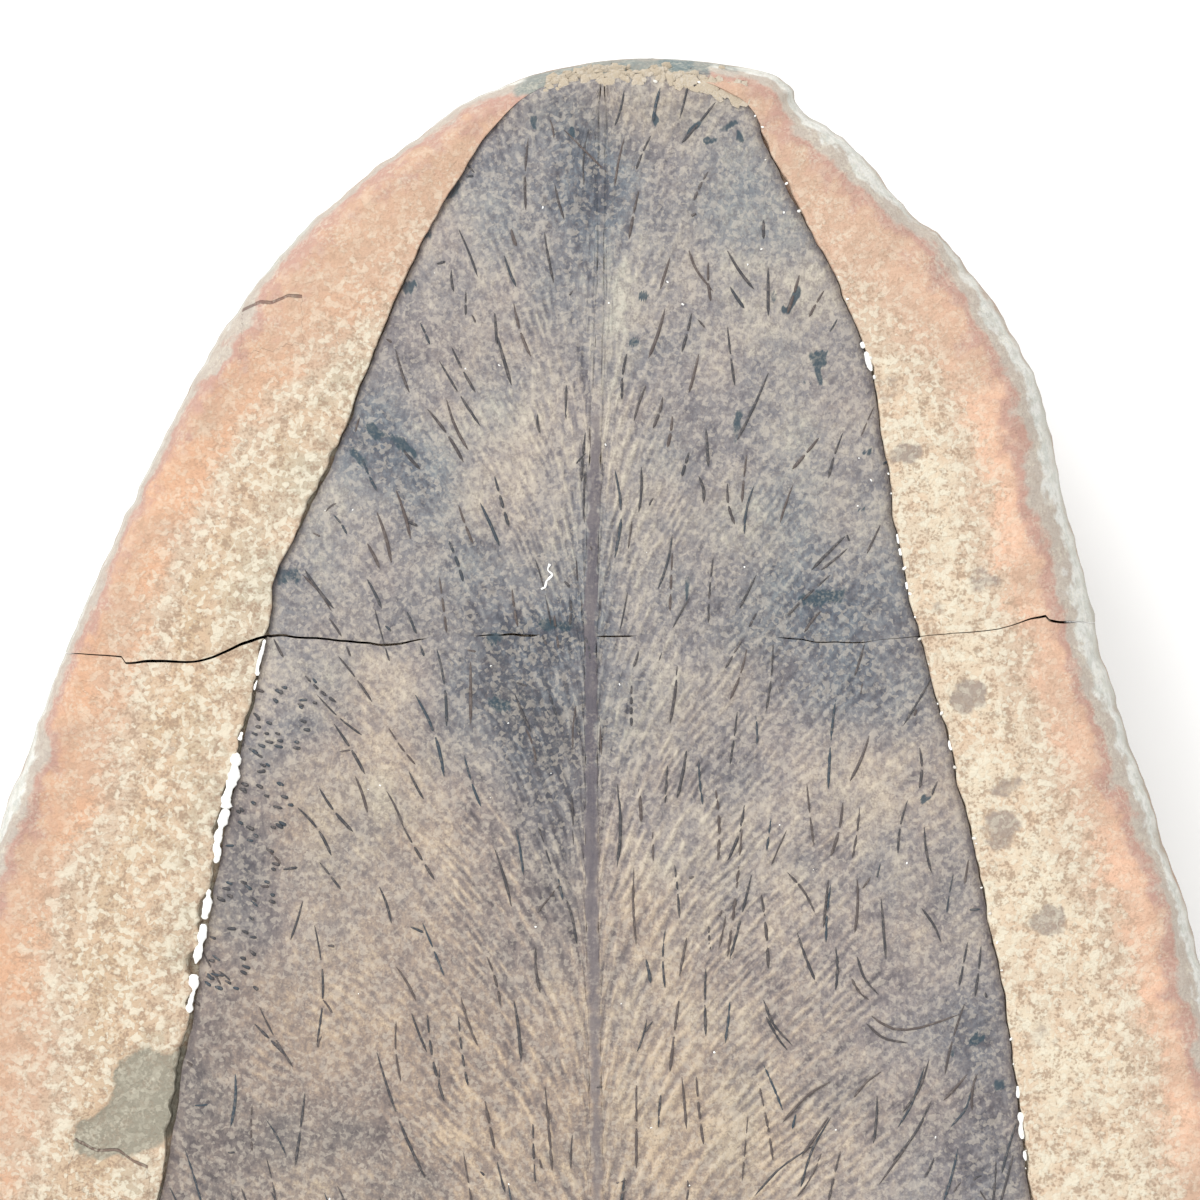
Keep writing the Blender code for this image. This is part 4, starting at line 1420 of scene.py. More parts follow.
@dataclass
class SeamMineral:
    """White clay mineral that fills stretches of the seam round the leaf."""

    form: PlateForm
    strips: tuple[tuple[Side, float, float, float], ...] = (
        (Side.LEFT, 35.6, 34.1, 0.09), (Side.LEFT, 33.9, 33.5, 0.05), (Side.LEFT, 31.75, 31.4, 0.09),
        (Side.LEFT, 30.9, 28.55, 0.20), (Side.LEFT, 28.55, 26.3, 0.165), (Side.LEFT, 25.2, 23.95, 0.16),
        (Side.LEFT, 23.75, 22.1, 0.15), (Side.LEFT, 21.65, 20.05, 0.17), (Side.RIGHT, 48.0, 47.75, 0.08),
        (Side.RIGHT, 47.6, 46.8, 0.09), (Side.RIGHT, 40.0, 39.6, 0.06), (Side.RIGHT, 39.4, 39.1, 0.07),
        (Side.RIGHT, 38.0, 37.7, 0.06), (Side.RIGHT, 31.4, 31.0, 0.08), (Side.RIGHT, 17.0, 16.5, 0.08),
        (Side.RIGHT, 15.9, 14.8, 0.10), (Side.RIGHT, 14.3, 13.9, 0.08), (Side.RIGHT, 2.0, -1.5, 0.11),
        (Side.LEFT, 4.0, 1.0, 0.12), (Side.LEFT, -6.0, -9.5, 0.10))

    def build(self, dress: bpy.types.Material) -> bpy.types.Object:
        """Make the filled stretches and the small grains beside them.

        Args:
            dress: The mineral's material.

        Returns:
            One joined piece.
        """
        rough = np.random.default_rng(19)
        bundle = Bundle()
        arcs = self.form.arcs(self.form.margin)
        for side, top, bottom, half in self.strips:
            piece = Piece.TIP if top > self.form.break_level else Piece.BASE
            arc = arcs[side, piece]
            arc = arc[np.argsort(arc[:, 1])]
            y = np.linspace(top, bottom, max(7, int((top - bottom) / 0.08)))
            pairs = self.form.left_gaps if side is Side.LEFT else self.form.right_gaps
            x = np.interp(y, arc[:, 1], arc[:, 0]) + side.value * 0.5 * by_height(pairs, y)
            flat = np.column_stack([x, y])
            level = self.form.face(flat, self.form.to_edge.distance(flat)) - 0.06
            step = np.arange(len(y))
            ends = np.clip(np.minimum(step + 0.6, len(y) - 0.4 - step) / 1.2, 0.0, 1.0)
            width = half * ends * (1.0 + 0.45 * Noise(91).at(flat, 0.28, 3))
            flat[:, 0] += 0.05 * Noise(92).at(flat, 0.5, 2)
            bundle.strand(np.column_stack([flat, level]), width, 0.6, 1.0, sides=10)
        self._grains(bundle, arcs, rough)
        return bundle.bind("seam_mineral", dress, "seam_mineral")

    def _grains(self, bundle: Bundle, arcs: dict, rough: np.random.Generator) -> None:
        """Scatter small pale grains along the right seam."""
        for piece, count in ((Piece.TIP, 34), (Piece.BASE, 130)):
            arc = spaced(arcs[Side.RIGHT, piece], count)
            keep = rough.random(count) < 0.55
            shift = rough.uniform(0.0, 0.16, count)
            size = rough.uniform(0.03, 0.08, count)
            flat = arc + np.column_stack([shift, rough.uniform(-0.3, 0.3, count)])
            level = self.form.face(flat, self.form.to_edge.distance(flat))
            for spot, height, half, kept in zip(flat, level, size, keep):
                if kept:
                    centre = np.array([*spot, height - 0.02])
                    bundle.grain(centre, np.array([half, half * 1.4, half]), rough.uniform(0.0, 3.0),
                                 0.35 + 0.6 * rough.random(), rough)


@dataclass
class PaleFlakes:
    """Cream flakes along the broken top of the leaf, and bright specks on the blade."""

    form: PlateForm
    squiggle: tuple[tuple[float, float], ...] = (
        (-0.3, 38.75), (-0.38, 38.5), (-0.2, 38.3), (-0.42, 38.05), (-0.5, 37.8), (-0.66, 37.7))
    torn_edge: tuple[tuple[float, float], ...] = (
        (-0.4, 58.6), (0.9, 59.15), (4.6, 59.1), (6.6, 58.7), (7.9, 58.0))
    thickness: float = 0.025

    def build(self, dress: bpy.types.Material) -> bpy.types.Object:
        """Scatter the flakes and specks.

        Args:
            dress: The flakes' material.

        Returns:
            One joined piece.
        """
        rough = np.random.default_rng(23)
        bundle = Bundle()
        for x in np.arange(-0.4, 7.9, 0.065):
            y = np.interp(x, *np.array(self.torn_edge).T) + rough.normal(0.0, 0.20)
            self._flake(bundle, x + rough.normal(0.0, 0.08), y, rough.uniform(0.12, 0.34), rough, 0.0)
        for _ in range(120):
            x, y = rough.uniform(-14.0, 18.0), rough.uniform(-40.0, 56.0)
            self._flake(bundle, x, y, rough.uniform(0.02, 0.055), rough, 0.85)
        line = smooth_path(list(self.squiggle), steps=5)
        level = self.form.leaf(line, self.form.to_margin.distance(line)) + 0.02
        width = 0.055 * (1.0 + 0.5 * Noise(95).at(line, 0.2, 1))
        bundle.strand(np.column_stack([line, level]), width, 0.7, 1.0)
        return bundle.bind("pale_flakes", dress, "seam_mineral")

    def _flake(self, bundle: Bundle, x: float, y: float, half: float, rough: np.random.Generator,
               tone: float) -> None:
        """Set one flake on the blade if it falls inside the leaf's reach."""
        spot = np.array([[x, y]])
        shape = rough.uniform(0.7, 1.4)
        turn = rough.uniform(0.0, math.pi)
        shade = tone + 0.3 * (rough.random() - 0.5)
        if y < 56.5 and not inside_loop(self.form.margin[::8], spot)[0]:
            return
        level = self.form.leaf(spot, self.form.to_margin.distance(spot))[0]
        if y > 58.0:
            level = self.form.face(spot, self.form.to_edge.distance(spot))[0]
        size = np.array([half * shape, half / shape, min(half * 0.5, self.thickness)])
        bundle.grain(np.array([x, y, level + 0.01]), size, turn, shade, rough)


# ---------------------------------------------------------------- finishes


def srgb(*channels: float) -> Colour:
    """Shares of light a surface gives back that show as a colour in the studio.

    Args:
        *channels: Red, green and blue, from 0 to 255.

    Returns:
        The three shares.
    """
    shares = [value / 255.0 for value in channels]
    return tuple((share / 12.92 if share <= 0.04045 else ((share + 0.055) / 1.055) ** 2.4) / LIGHT_LEVEL
                 for share in shares)


class Wire:
    """Number, colour or place that runs through a shader graph, with plain sums."""

    def __init__(self, graph: "Graph", socket: Socket) -> None:
        """Keep the graph and the socket that the value comes from."""
        self.graph, self.socket = graph, socket

    def __add__(self, other: object) -> "Wire":
        """Sum."""
        return self.graph.maths("ADD", self, other)

    def __sub__(self, other: object) -> "Wire":
        """Difference."""
        return self.graph.maths("SUBTRACT", self, other)

    def __rsub__(self, other: object) -> "Wire":
        """Difference from a plain number."""
        return self.graph.maths("SUBTRACT", other, self)

    def __mul__(self, other: object) -> "Wire":
        """Product."""
        return self.graph.maths("MULTIPLY", self, other)

    def __truediv__(self, other: object) -> "Wire":
        """Share."""
        return self.graph.maths("DIVIDE", self, other)

    def __abs__(self) -> "Wire":
        """Size without its sign."""
        return self.graph.maths("ABSOLUTE", self)


class Graph:
    """Short way to place and join shader nodes in one tree."""

    def __init__(self, tree: bpy.types.NodeTree) -> None:
        """Keep the tree to work in."""
        self.tree = tree

    def node(self, kind: str, feeds: dict | None = None, **settings: object) -> bpy.types.Node:
        """Place a node.

        Args:
            kind: Blender's full name for the node.
            feeds: Values or wires for its inputs, by name or number.
            **settings: Properties to set on it.

        Returns:
            The new node.
        """
        made = self.tree.nodes.new(kind)
        for name, value in settings.items():
            setattr(made, name, value)
        for name, value in (feeds or {}).items():
            self.feed(made.inputs[name], value)
        return made

    def feed(self, socket: Socket, value: object) -> None:
        """Join a wire to a socket, or set the socket's plain value.

        Args:
            socket: Socket that takes the value.
            value: A wire, a number, or a colour without its alpha.
        """
        if isinstance(value, Wire):
            self.tree.links.new(value.socket, socket)
        elif socket.type == "RGBA":
            socket.default_value = (*value, 1.0)
        else:
            socket.default_value = value

    def wires(self, node: bpy.types.Node) -> dict[str, Wire]:
        """Outputs of a node, by name."""
        return {socket.name: Wire(self, socket) for socket in node.outputs}

    def wire(self, kind: str, feeds: dict | None = None, out: int | str = 0, **settings: object) -> Wire:
        """One output of a new node, which is placed as node places it."""
        return Wire(self, self.node(f"ShaderNode{kind}", feeds, **settings).outputs[out])

    def maths(self, operation: str, a: object, b: object = 0.0) -> Wire:
        """Result of a sum on two numbers."""
        return self.wire("Math", {0: a, 1: b}, operation=operation)

    def mix(self, factor: object, a: object, b: object, kind: str = "MIX") -> Wire:
        """Mix of two colours."""
        return self.wire("Mix", {0: factor, 6: a, 7: b}, 2, data_type="RGBA", blend_type=kind)

    def step(self, value: Wire, low: float, high: float, top: float = 1.0) -> Wire:
        """Smooth rise from 0 at low to top at high."""
        return self.wire("MapRange", {0: value, 1: low, 2: high, 3: 0.0, 4: top},
                         interpolation_type="SMOOTHSTEP")

    def noise(self, place: Wire, scale: object, detail: float, rough: float, out: str = "Fac") -> Wire:
        """Noise from about 0.2 to 0.8."""
        return self.wire("TexNoise", {"Vector": place, "Scale": scale, "Detail": detail,
                                      "Roughness": rough}, out)

    def vector(self, operation: str, *feeds: object) -> Wire:
        """Result of a sum on places."""
        return self.wire("VectorMath", dict(enumerate(feeds)), operation=operation)

    def scaled(self, place: Wire, by: object) -> Wire:
        """A place, scaled by a number."""
        return self.wire("VectorMath", {0: place, 3: by}, operation="SCALE")

    def stored(self, name: str) -> Wire:
        """Value stored at the mesh's points."""
        return self.wire("Attribute", out="Fac", attribute_name=name)

    def ramp(self, value: Wire, stops: Stops) -> Wire:
        """Colour read off a row of stops.

        Args:
            value: Where to read, from 0 to 1.
            stops: Place and colour of each stop.

        Returns:
            The colour.
        """
        made = self.node("ShaderNodeValToRGB", {0: value})
        bar = made.color_ramp
        while len(bar.elements) < len(stops):
            bar.elements.new(1.0)
        for element, (where, colour) in zip(bar.elements, stops):
            element.position = where
            element.color = (*colour, 1.0)
        return Wire(self, made.outputs[0])

    def group(self, tree: bpy.types.NodeTree, **feeds: object) -> dict[str, Wire]:
        """Outputs of a shared effect, placed with values of its own."""
        return self.wires(self.node("ShaderNodeGroup", feeds, node_tree=tree))


class Effect(Graph):
    """Node group with named inputs and outputs, which several materials place."""

    kinds = {"Place": "Vector", **dict.fromkeys(("Colour", "Second", "Pale", "Brown", "Rust"), "Color")}

    def __init__(self, name: str, inputs: str, outputs: str) -> None:
        """Start the group.

        Args:
            name: Name of the group.
            inputs: Names of its inputs, with spaces between.
            outputs: Names of its outputs, in the same way.
        """
        super().__init__(bpy.data.node_groups.new(name, "ShaderNodeTree"))
        for way, labels in (("INPUT", inputs), ("OUTPUT", outputs)):
            for label in labels.split():
                kind = f"NodeSocket{self.kinds.get(label, 'Float')}"
                self.tree.interface.new_socket(label, in_out=way, socket_type=kind)
        self.given = self.wires(self.node("NodeGroupInput"))
        self.sink = self.node("NodeGroupOutput")

    def give(self, **results: Wire) -> bpy.types.NodeTree:
        """Send the results out by name, and give the finished group."""
        for name, value in results.items():
            self.feed(self.sink.inputs[name], value)
        return self.tree


class Effects:
    """Shared effects, each a node group that is built once."""

    warp = (0.35, 0.35, 0.35)

    def __init__(self) -> None:
        """Build every group."""
        self.grain = self._grain()
        self.drift = self._drift()
        self.hairline = self._hairline()
        self.dust = self._dust()
        self.skin = self._skin()

    def _grain(self) -> bpy.types.NodeTree:
        """Sugary mineral grain: bright grains, dark flecks and a height to go with them."""
        effect = Effect("mineral grain", "Place Size Amount", "Bright Dark Height")
        amount = effect.given["Amount"]
        place = effect.scaled(effect.given["Place"], effect.given["Size"])
        bent = effect.vector("MULTIPLY_ADD", effect.noise(place, 2.0, 2.0, 0.5, "Color"), self.warp, place)
        cells = effect.wire("TexVoronoi", {"Vector": bent, "Scale": 3.6}, "Color")
        tone = effect.wire("SeparateColor", {0: cells})
        coarse = effect.noise(place, 1.5, 3.0, 0.62)
        fine = effect.noise(place, 6.0, 2.0, 0.6)
        bright = effect.step(tone * 0.55 + coarse, 0.76, 1.02)
        dark = 1.0 - effect.step(fine * 0.6 + coarse, 0.62, 0.82)
        return effect.give(Bright=bright * amount, Dark=dark * amount,
                           Height=tone * 0.35 + (coarse + fine))

    def _drift(self) -> bpy.types.NodeTree:
        """Slow drift of a colour towards a second one, in soft ragged patches."""
        effect = Effect("colour drift", "Place Scale Amount Colour Second", "Colour")
        given = effect.given
        mask = effect.step(effect.noise(given["Place"], given["Scale"], 4.0, 0.6), 0.40, 0.62)
        return effect.give(Colour=effect.mix(mask * given["Amount"], given["Colour"], given["Second"]))

    def _hairline(self) -> bpy.types.NodeTree:
        """Fine dark line where a stored distance is near zero, broken up along its way."""
        effect = Effect("hairline", "Place Distance Width", "Mask")
        width = effect.given["Width"] * (effect.noise(effect.given["Place"], 2.2, 3.0, 0.6) * 1.5 + 0.2)
        return effect.give(Mask=1.0 - effect.step(effect.given["Distance"] / width, 0.55, 1.1))

    def _dust(self) -> bpy.types.NodeTree:
        """Pale rock dust that has settled in patches and specks."""
        effect = Effect("rock dust", "Place Amount", "Mask")
        patches = effect.step(effect.noise(effect.given["Place"], 0.9, 4.0, 0.65), 0.42, 0.66)
        specks = effect.step(effect.noise(effect.given["Place"], 7.5, 1.0, 0.5), 0.44, 0.66)
        return effect.give(Mask=patches * specks * effect.given["Amount"])

    def _skin(self) -> bpy.types.NodeTree:
        """Weathered skin of the nodule: pale crust with brown and rusty patches."""
        effect = Effect("weathered skin", "Place Pale Brown Rust", "Colour")
        given, colour = effect.given, effect.given["Pale"]
        for second, scale, amount in (("Brown", 0.13, 0.8), ("Rust", 0.3, 0.5)):
            colour = effect.group(self.drift, Place=given["Place"], Scale=scale, Amount=amount,
                                  Colour=colour, Second=given[second])["Colour"]
        return effect.give(Colour=colour)


class Finish(Graph):
    """Material with one Principled shader, which each kind of finish paints in its own way."""

    name: str
    roughness: float = 0.9
    specular: float = 0.2

    def __init__(self, effects: Effects) -> None:
        """Start the material and paint it.

        Args:
            effects: The shared effects.
        """
        self.material = bpy.data.materials.new(self.name)
        self.material.use_nodes = True
        super().__init__(self.material.node_tree)
        self.effects = effects
        self.shader = self.tree.nodes["Principled BSDF"]
        self.shader.inputs["Roughness"].default_value = self.roughness
        self.shader.inputs["Specular IOR Level"].default_value = self.specular
        self.place = self.scaled(self.wire("TexCoord", out="Object"), 1.0 / MM)
        self.paint()

    def paint(self) -> None:
        """Place and join the nodes."""
        raise NotImplementedError

    def grains(self, size: float, amount: object) -> dict[str, Wire]:
        """Mineral grain at the surface's own places."""
        return self.group(self.effects.grain, Place=self.place, Size=size, Amount=amount)

    def drift(self, colour: object, second: object, scale: float, amount: float) -> Wire:
        """Colour that drifts towards a second one."""
        return self.group(self.effects.drift, Place=self.place, Scale=scale, Amount=amount,
                          Colour=colour, Second=second)["Colour"]

    def dusted(self, colour: Wire, amount: float, pale: Colour) -> Wire:
        """Colour under patches of pale rock dust."""
        dust = self.group(self.effects.dust, Place=self.place, Amount=amount)
        return self.mix(dust["Mask"], colour, pale)

    def skin(self) -> Wire:
        """Colour of the nodule's weathered skin."""
        return self.group(self.effects.skin, Place=self.place, Pale=RindFinish.pale,
                          Brown=RindFinish.brown, Rust=RindFinish.rust)["Colour"]

    def finish(self, colour: Wire, height: Wire, depth: float, low: float, high: float) -> None:
        """Give the shader its colour, its relief and a roughness that follows the relief.

        Args:
            colour: Base colour.
            height: Height from about 0 to 1.
            depth: Depth of the relief, in mm.
            low: Roughness on the high places.
            high: Roughness in the low places.
        """
        bump = self.wire("Bump", {"Height": height, "Strength": 1.0, "Distance": depth * MM})
        spread = self.wire("MapRange", {0: height, 1: 0.0, 2: 1.6, 3: high, 4: low})
        for name, value in (("Base Color", colour), ("Normal", bump), ("Roughness", spread)):
            self.feed(self.shader.inputs[name], value)


class RindFinish(Finish):
    """Weathered outside of the nodule, on its shoulder and underside."""

    name = "weathered_rind"
    pale: Colour = srgb(208, 207, 195)
    brown: Colour = srgb(180, 160, 140)
    rust: Colour = srgb(190, 148, 118)
    grain: Colour = srgb(226, 222, 206)
    fleck: Colour = srgb(128, 116, 102)

    def paint(self) -> None:
        """Paint the crust, its grain and its dust."""
        grain = self.grains(0.7, 0.75)
        colour = self.mix(grain["Dark"], self.skin(), self.fleck)
        colour = self.mix(grain["Bright"], colour, self.grain)
        self.finish(self.dusted(colour, 0.4, self.grain), grain["Height"], 0.10, 0.78, 0.95)


class MatrixFinish(Finish):
    """Bare matrix round the leaf, banded from the pale rind in to the cream stone."""

    name = "bare_matrix"
    roughness = 0.85
    specular = 0.25
    rind: Colour = srgb(250, 249, 242)
    moss: Colour = srgb(212, 214, 204)
    grey: Colour = srgb(210, 197, 184)
    red: Colour = srgb(212, 170, 154)
    orange: Colour = srgb(240, 191, 156)
    salmon: Colour = srgb(221, 188, 163)
    sand: Colour = srgb(229, 204, 178)
    cream: Colour = srgb(251, 234, 206)
    peach: Colour = srgb(238, 204, 172)
    glow: Colour = srgb(255, 209, 178)
    ochre: Colour = srgb(224, 196, 163)
    dull: Colour = srgb(208, 199, 177)
    grain: Colour = srgb(255, 247, 224)
    fleck: Colour = srgb(180, 152, 128)
    # Dark brown of the hairline cracks, also used for the painted shade in the seam round the leaf.
    crack: Colour = srgb(120, 92, 84)
    cap: Colour = srgb(158, 163, 157)
    stains: dict[str, tuple[Colour, float]] = {
        "spot": (srgb(164, 150, 142), 0.80), "olive": (srgb(166, 161, 144), 0.94),
        "teal": (srgb(112, 134, 138), 0.8)}

    def paint(self) -> None:
        """Paint the bands, the stains, the grain, the cracks, the painted shade along the leaf's seam and
        the shoulder's crust.
        """
        place = self.place
        ragged = self.noise(place, 1.1, 4.0, 0.62) - 0.5
        band = (self.stored("band") + ragged * 1.5) / 4.0
        side = self.step(self.wire("SeparateXYZ", {0: place}, "X"), -6.0, 12.0)
        near = 1.0 - self.step(self.stored("seam"), 0.4, 3.2)
        inner = self.mix(side, self.mix(near * 0.8, self.ochre, self.dull), self.cream)
        inner = self.drift(self.drift(inner, self.sand, 0.3, 0.45), self.peach, 0.75, 0.55)
        warm = self.drift(self.mix(side, self.orange, self.glow), self.salmon, 0.28, 0.7)
        warm = self.mix(self.stored("top") * 0.7, warm, self.salmon)
        outer = self.ramp(band, ((0.24, self.grey), (0.33, self.grey), (0.40, self.red),
                                 (0.50, self.red), (0.60, self.orange)))
        colour = self.drift(self.rind, self.moss, 2.2, 0.7)
        for low, high, next_in in ((0.17, 0.25, outer), (0.44, 0.60, warm), (0.68, 0.84, self.sand),
                                   (0.82, 0.98, inner)):
            colour = self.mix(self.step(band, low, high), colour, next_in)
        grain = self.grains(1.3, self.step(band, 0.50, 0.90) * 0.80 + 0.20)
        dark, bright = grain["Dark"], grain["Bright"]
        colour = self.mix(self.step(self.stored("cap") + ragged, 0.2, 0.7), colour, self.cap)
        edge = (self.noise(place, 2.4, 3.0, 0.6) - 0.5) * 1.2
        for name, (tint, strength) in self.stains.items():
            cover = self.step(self.stored(name) + edge, 0.25, 0.90, strength)
            colour = self.mix(cover, colour, tint)
            calm = 1.0 - cover * 0.75
            dark, bright = dark * calm, bright * calm
        colour = self.mix(dark * 0.72, colour, self.fleck)
        colour = self.mix(bright * 0.72, colour, self.grain)
        line = self.group(self.effects.hairline, Place=place, Distance=abs(self.stored("crack")),
                          Width=0.075)["Mask"]
        colour = self.dusted(self.mix(line * 0.75, colour, self.crack), 0.35, self.grain)
        # Painted shade in the groove along the leaf's seam, in the cracks' dark brown.
        seam_shade = 1.0 - self.step(self.stored("seam"), 0.0, 0.10)
        colour = self.mix(seam_shade * 0.45, colour, self.crack)
        level = self.wire("SeparateXYZ", {0: place}, "Z") + ragged * 2.6
        colour = self.mix(self.step(level, 15.0, 13.9), colour, self.skin())
        self.finish(colour, grain["Height"] - line * 1.2, 0.055, 0.72, 0.92)


class BreakFinish(Finish):
    """Fresh grey-brown stone on the face along the break, rusted near the outside."""

    name = "break_face"
    roughness = 0.85
    specular = 0.3
    core: Colour = srgb(150, 138, 126)
    rust: Colour = srgb(196, 148, 112)
    grain: Colour = srgb(206, 192, 168)
    fleck: Colour = srgb(96, 84, 76)

    def paint(self) -> None:
        """Paint the core, its rusted outside and its grain."""
        band = self.stored("band") + self.noise(self.place, 0.6, 3.0, 0.5) * 1.5
        grain = self.grains(1.2, 0.8)
        colour = self.mix(self.step(band, 2.2, 4.4), self.rust, self.core)
        colour = self.mix(grain["Dark"], colour, self.fleck)
        colour = self.mix(grain["Bright"], colour, self.grain)
        self.finish(colour, grain["Height"], 0.08, 0.6, 0.9)


class LeafFinish(Finish):
    """Mineral film of the leaf: mauve-grey in drifting tones, with painted highlight on the vein crests and
    painted shade in the furrows.
    """

    name = "leaf_film"
    roughness = 0.7
    specular = 0.3
    tones: Stops = (
        (0.00, srgb(98, 94, 100)), (0.18, srgb(122, 116, 120)), (0.36, srgb(146, 139, 140)),
        (0.54, srgb(169, 159, 155)), (0.72, srgb(190, 177, 166)), (0.90, srgb(214, 200, 182)),
        (1.00, srgb(230, 216, 196)))
    rib: Stops = (
        (0.0, srgb(106, 100, 108)), (0.45, srgb(138, 129, 130)), (0.85, srgb(188, 174, 160)),
        (1.0, srgb(206, 194, 178)))
    tints: dict[str, Colour] = {"brown": (0.94, 0.82, 0.70), "blue": (0.66, 0.87, 1.0)}
    teal: Colour = srgb(58, 80, 92)
    pale: Colour = srgb(232, 220, 202)
    # Dark mauve of the grain's dark flecks, also used for the painted shade along the margin.
    shade: Colour = srgb(112, 102, 104)
    rib_drawing: tuple[float, float, float] = (5.0, 0.8, 5.0)
    bead_shape: tuple[float, float, float] = (1.5, 0.85, 1.0)

    def paint(self) -> None:
        """Paint the film's tones with painted highlight on the vein crests and painted shade in the furrows,
        the midrib, the stains, the dust and the painted shade along the margin.
        """
        place = self.place
        mottle = self.noise(place, 1.3, 5.0, 0.68) - 0.5
        beads = self.noise(self.vector("MULTIPLY", place, self.bead_shape), 3.4, 3.0, 0.66)
        # The stored ridge height paints highlight on the vein crests and shade in the furrows.
        tone = self.stored("tone") + mottle * 0.80 + self.stored("ridge") * 0.22 + (beads - 0.5) * 0.92
        colour = self.ramp(tone, self.tones)
        for name, tint in self.tints.items():
            colour = self.mix(self.stored(name) * 0.85, colour, tint, "MULTIPLY")
        grain = self.grains(1.7, 0.8)
        colour = self.mix(grain["Dark"] * 0.46, colour, self.shade)
        colour = self.mix(grain["Bright"] * 0.42, colour, self.pale)
        streaks = self.noise(self.vector("MULTIPLY", place, self.rib_drawing), 1.0, 4.0, 0.65) - 0.5
        rib = self.ramp(self.stored("depth") + streaks * 0.9, self.rib)
        colour = self.mix(self.step(self.stored("rib") + mottle * 0.7, 0.15, 0.75, 0.92), colour, rib)
        stain = self.step(self.stored("teal") + mottle * 1.5, 0.38, 0.74, 0.9)
        colour = self.dusted(self.mix(stain, colour, self.teal), 0.22, self.pale)
        # Painted shade on the leaf's edge where it dives under the matrix.
        margin_shade = 1.0 - self.step(self.stored("seam"), 0.0, 0.40)
        colour = self.mix(margin_shade * 0.35, colour, self.shade)
        self.finish(colour, beads + grain["Height"] * 0.5, 0.045, 0.55, 0.80)


class HairFinish(Finish):
    """Carbonised hair, from brown-black to blue-black."""

    name = "hair_carbon"
    roughness = 0.5
    specular = 0.4
    brown: Colour = srgb(96, 84, 80)
    black: Colour = srgb(68, 67, 71)
    blue: Colour = srgb(58, 74, 86)
    dust: Colour = srgb(150, 138, 130)

    def paint(self) -> None:
        """Paint each hair by its own tone, with a little dust."""
        tone = self.stored("tone")
        grain = self.grains(2.2, 0.6)
        colour = self.mix(self.step(tone, 0.15, 0.55), self.brown, self.black)
        colour = self.mix(self.step(tone, 0.75, 0.95), colour, self.blue)
        colour = self.mix(grain["Bright"] * 0.6, colour, self.dust)
        self.finish(colour, grain["Height"], 0.02, 0.40, 0.65)


class ClayFinish(Finish):
    """Chalky white to cream clay mineral."""

    name = "white_clay"
    white: Colour = (0.84, 0.84, 0.81)
    cream: Colour = srgb(218, 202, 178)
    grey: Colour = (0.52, 0.50, 0.46)

    def paint(self) -> None:
        """Paint each grain by its own tone."""
        grain = self.grains(2.0, 0.5)
        colour = self.mix(self.step(self.stored("tone"), 0.0, 0.8), self.cream, self.white)
        colour = self.mix(grain["Dark"] * 0.5, colour, self.grey)
        self.finish(colour, grain["Height"], 0.04, 0.8, 0.95)


class FloorFinish(Finish):
    """Plain pale paper."""

    name = "pale_paper"
    specular = 0.1
    paper: Colour = (0.92, 0.92, 0.92)

    def paint(self) -> None:
        """Paint the paper with a very slight drift."""
        second = tuple(0.985 * value for value in self.paper)
        self.feed(self.shader.inputs["Base Color"], self.drift(self.paper, second, 0.02, 0.3))


# ---------------------------------------------------------------- studio


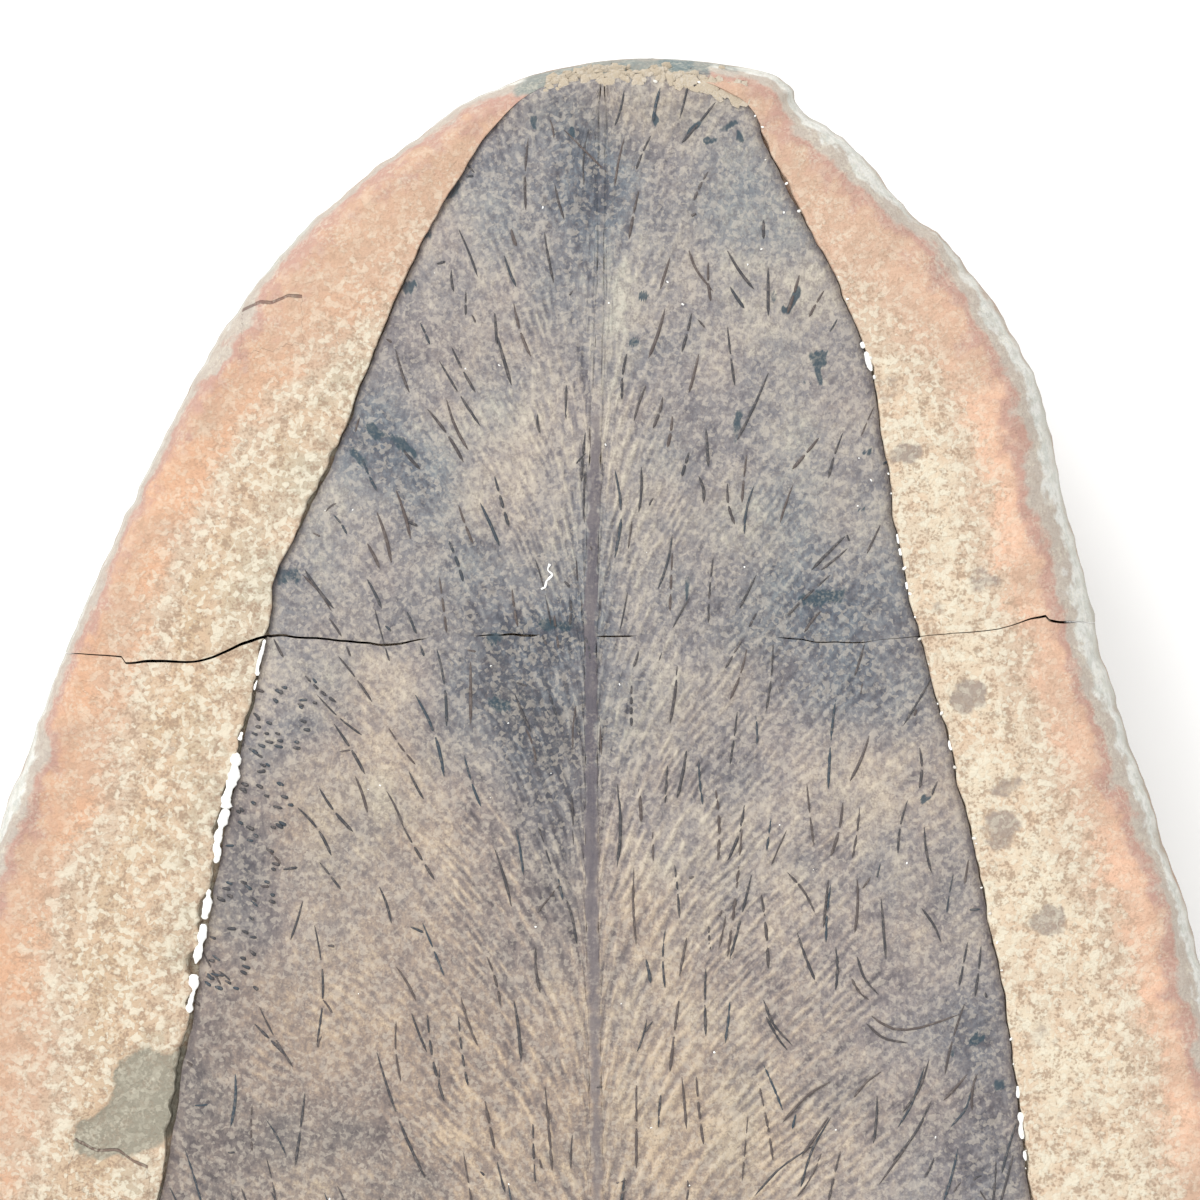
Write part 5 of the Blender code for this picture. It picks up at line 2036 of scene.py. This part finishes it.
@dataclass
class Studio:
    """Pale floor, soft light and a camera that looks straight down on the tip half."""

    window: float = 50.0
    middle: tuple[float, float] = (1.79, 37.25)
    face_level: float = 16.7
    distance: float = 420.0
    sensor: float = 36.0
    floor_size: float = 2400.0
    sky: float = 1.42
    key: float = 1.45
    key_size: float = 260.0

    def build(self, effects: Effects) -> None:
        """Set the floor, the lights and the camera.

        Args:
            effects: The shared effects.
        """
        self._floor(effects)
        self._lights()
        self._camera()

    def _floor(self, effects: Effects) -> None:
        """Large pale floor just under the plate."""
        half = self.floor_size / 2.0
        draft = Draft()
        line = np.linspace(-half, half, 9)
        x, y = np.meshgrid(line, line)
        draft.sheet(draft.place(np.dstack([x, y, np.full_like(x, -0.05)])))
        floor = draft.finish("floor", [FloorFinish(effects).material])
        if floor.data.polygons[0].normal.z < 0.0:
            floor.data.flip_normals()

    def _lights(self) -> None:
        """Even sky light and one large soft light from the upper left."""
        world = bpy.data.worlds.new("studio_sky")
        world.use_nodes = True
        ground = world.node_tree.nodes["Background"]
        ground.inputs["Color"].default_value = (1.0, 1.0, 1.0, 1.0)
        ground.inputs["Strength"].default_value = self.sky
        bpy.context.scene.world = world
        lamp = bpy.data.lights.new("soft_key", "AREA")
        lamp.shape = "SQUARE"
        lamp.size = self.key_size * MM
        lamp.energy = self.key
        source = bpy.data.objects.new("soft_key", lamp)
        source.location = Vector((-230.0, 300.0, 330.0)) * MM
        aim = Vector((*self.middle, 0.0)) * MM - source.location
        source.rotation_euler = aim.to_track_quat("-Z", "Y").to_euler()
        bpy.context.scene.collection.objects.link(source)

    def _camera(self) -> None:
        """Long-lens camera straight above, with the leaf's tip up."""
        lens = bpy.data.cameras.new("camera")
        lens.sensor_width = self.sensor
        lens.lens = self.sensor * self.distance / self.window
        lens.clip_start = 0.01
        lens.clip_end = 20.0
        camera = bpy.data.objects.new("camera", lens)
        camera.location = Vector((*self.middle, self.face_level + self.distance)) * MM
        bpy.context.scene.collection.objects.link(camera)
        bpy.context.scene.camera = camera


def main() -> None:
    """Build every piece of the plate in order, and report each one."""
    logging.basicConfig(level=logging.INFO, format="%(name)s: %(message)s")
    bpy.context.scene.view_settings.view_transform = "Standard"
    effects = Effects()
    form = PlateForm()
    stone_dress = [kind(effects).material for kind in (MatrixFinish, RindFinish, BreakFinish)]
    pieces = [
        StonePiece(form, Piece.TIP, "nodule_tip_piece", rows=200).build(stone_dress),
        StonePiece(form, Piece.BASE, "nodule_base_piece", rows=520).build(stone_dress),
    ]
    leaf_dress = LeafFinish(effects).material
    for side in Side:
        pieces += Lamina(form, side).build(leaf_dress)
    pieces += Midrib(form).build(leaf_dress)
    pieces += Hairs(form).build(HairFinish(effects).material)
    clay = ClayFinish(effects).material
    pieces.append(SeamMineral(form).build(clay))
    pieces.append(PaleFlakes(form).build(clay))
    Studio().build(effects)
    for piece in pieces:
        LOG.info("%s: %d faces", piece.name, len(piece.data.polygons))


if __name__ == "__main__":
    main()
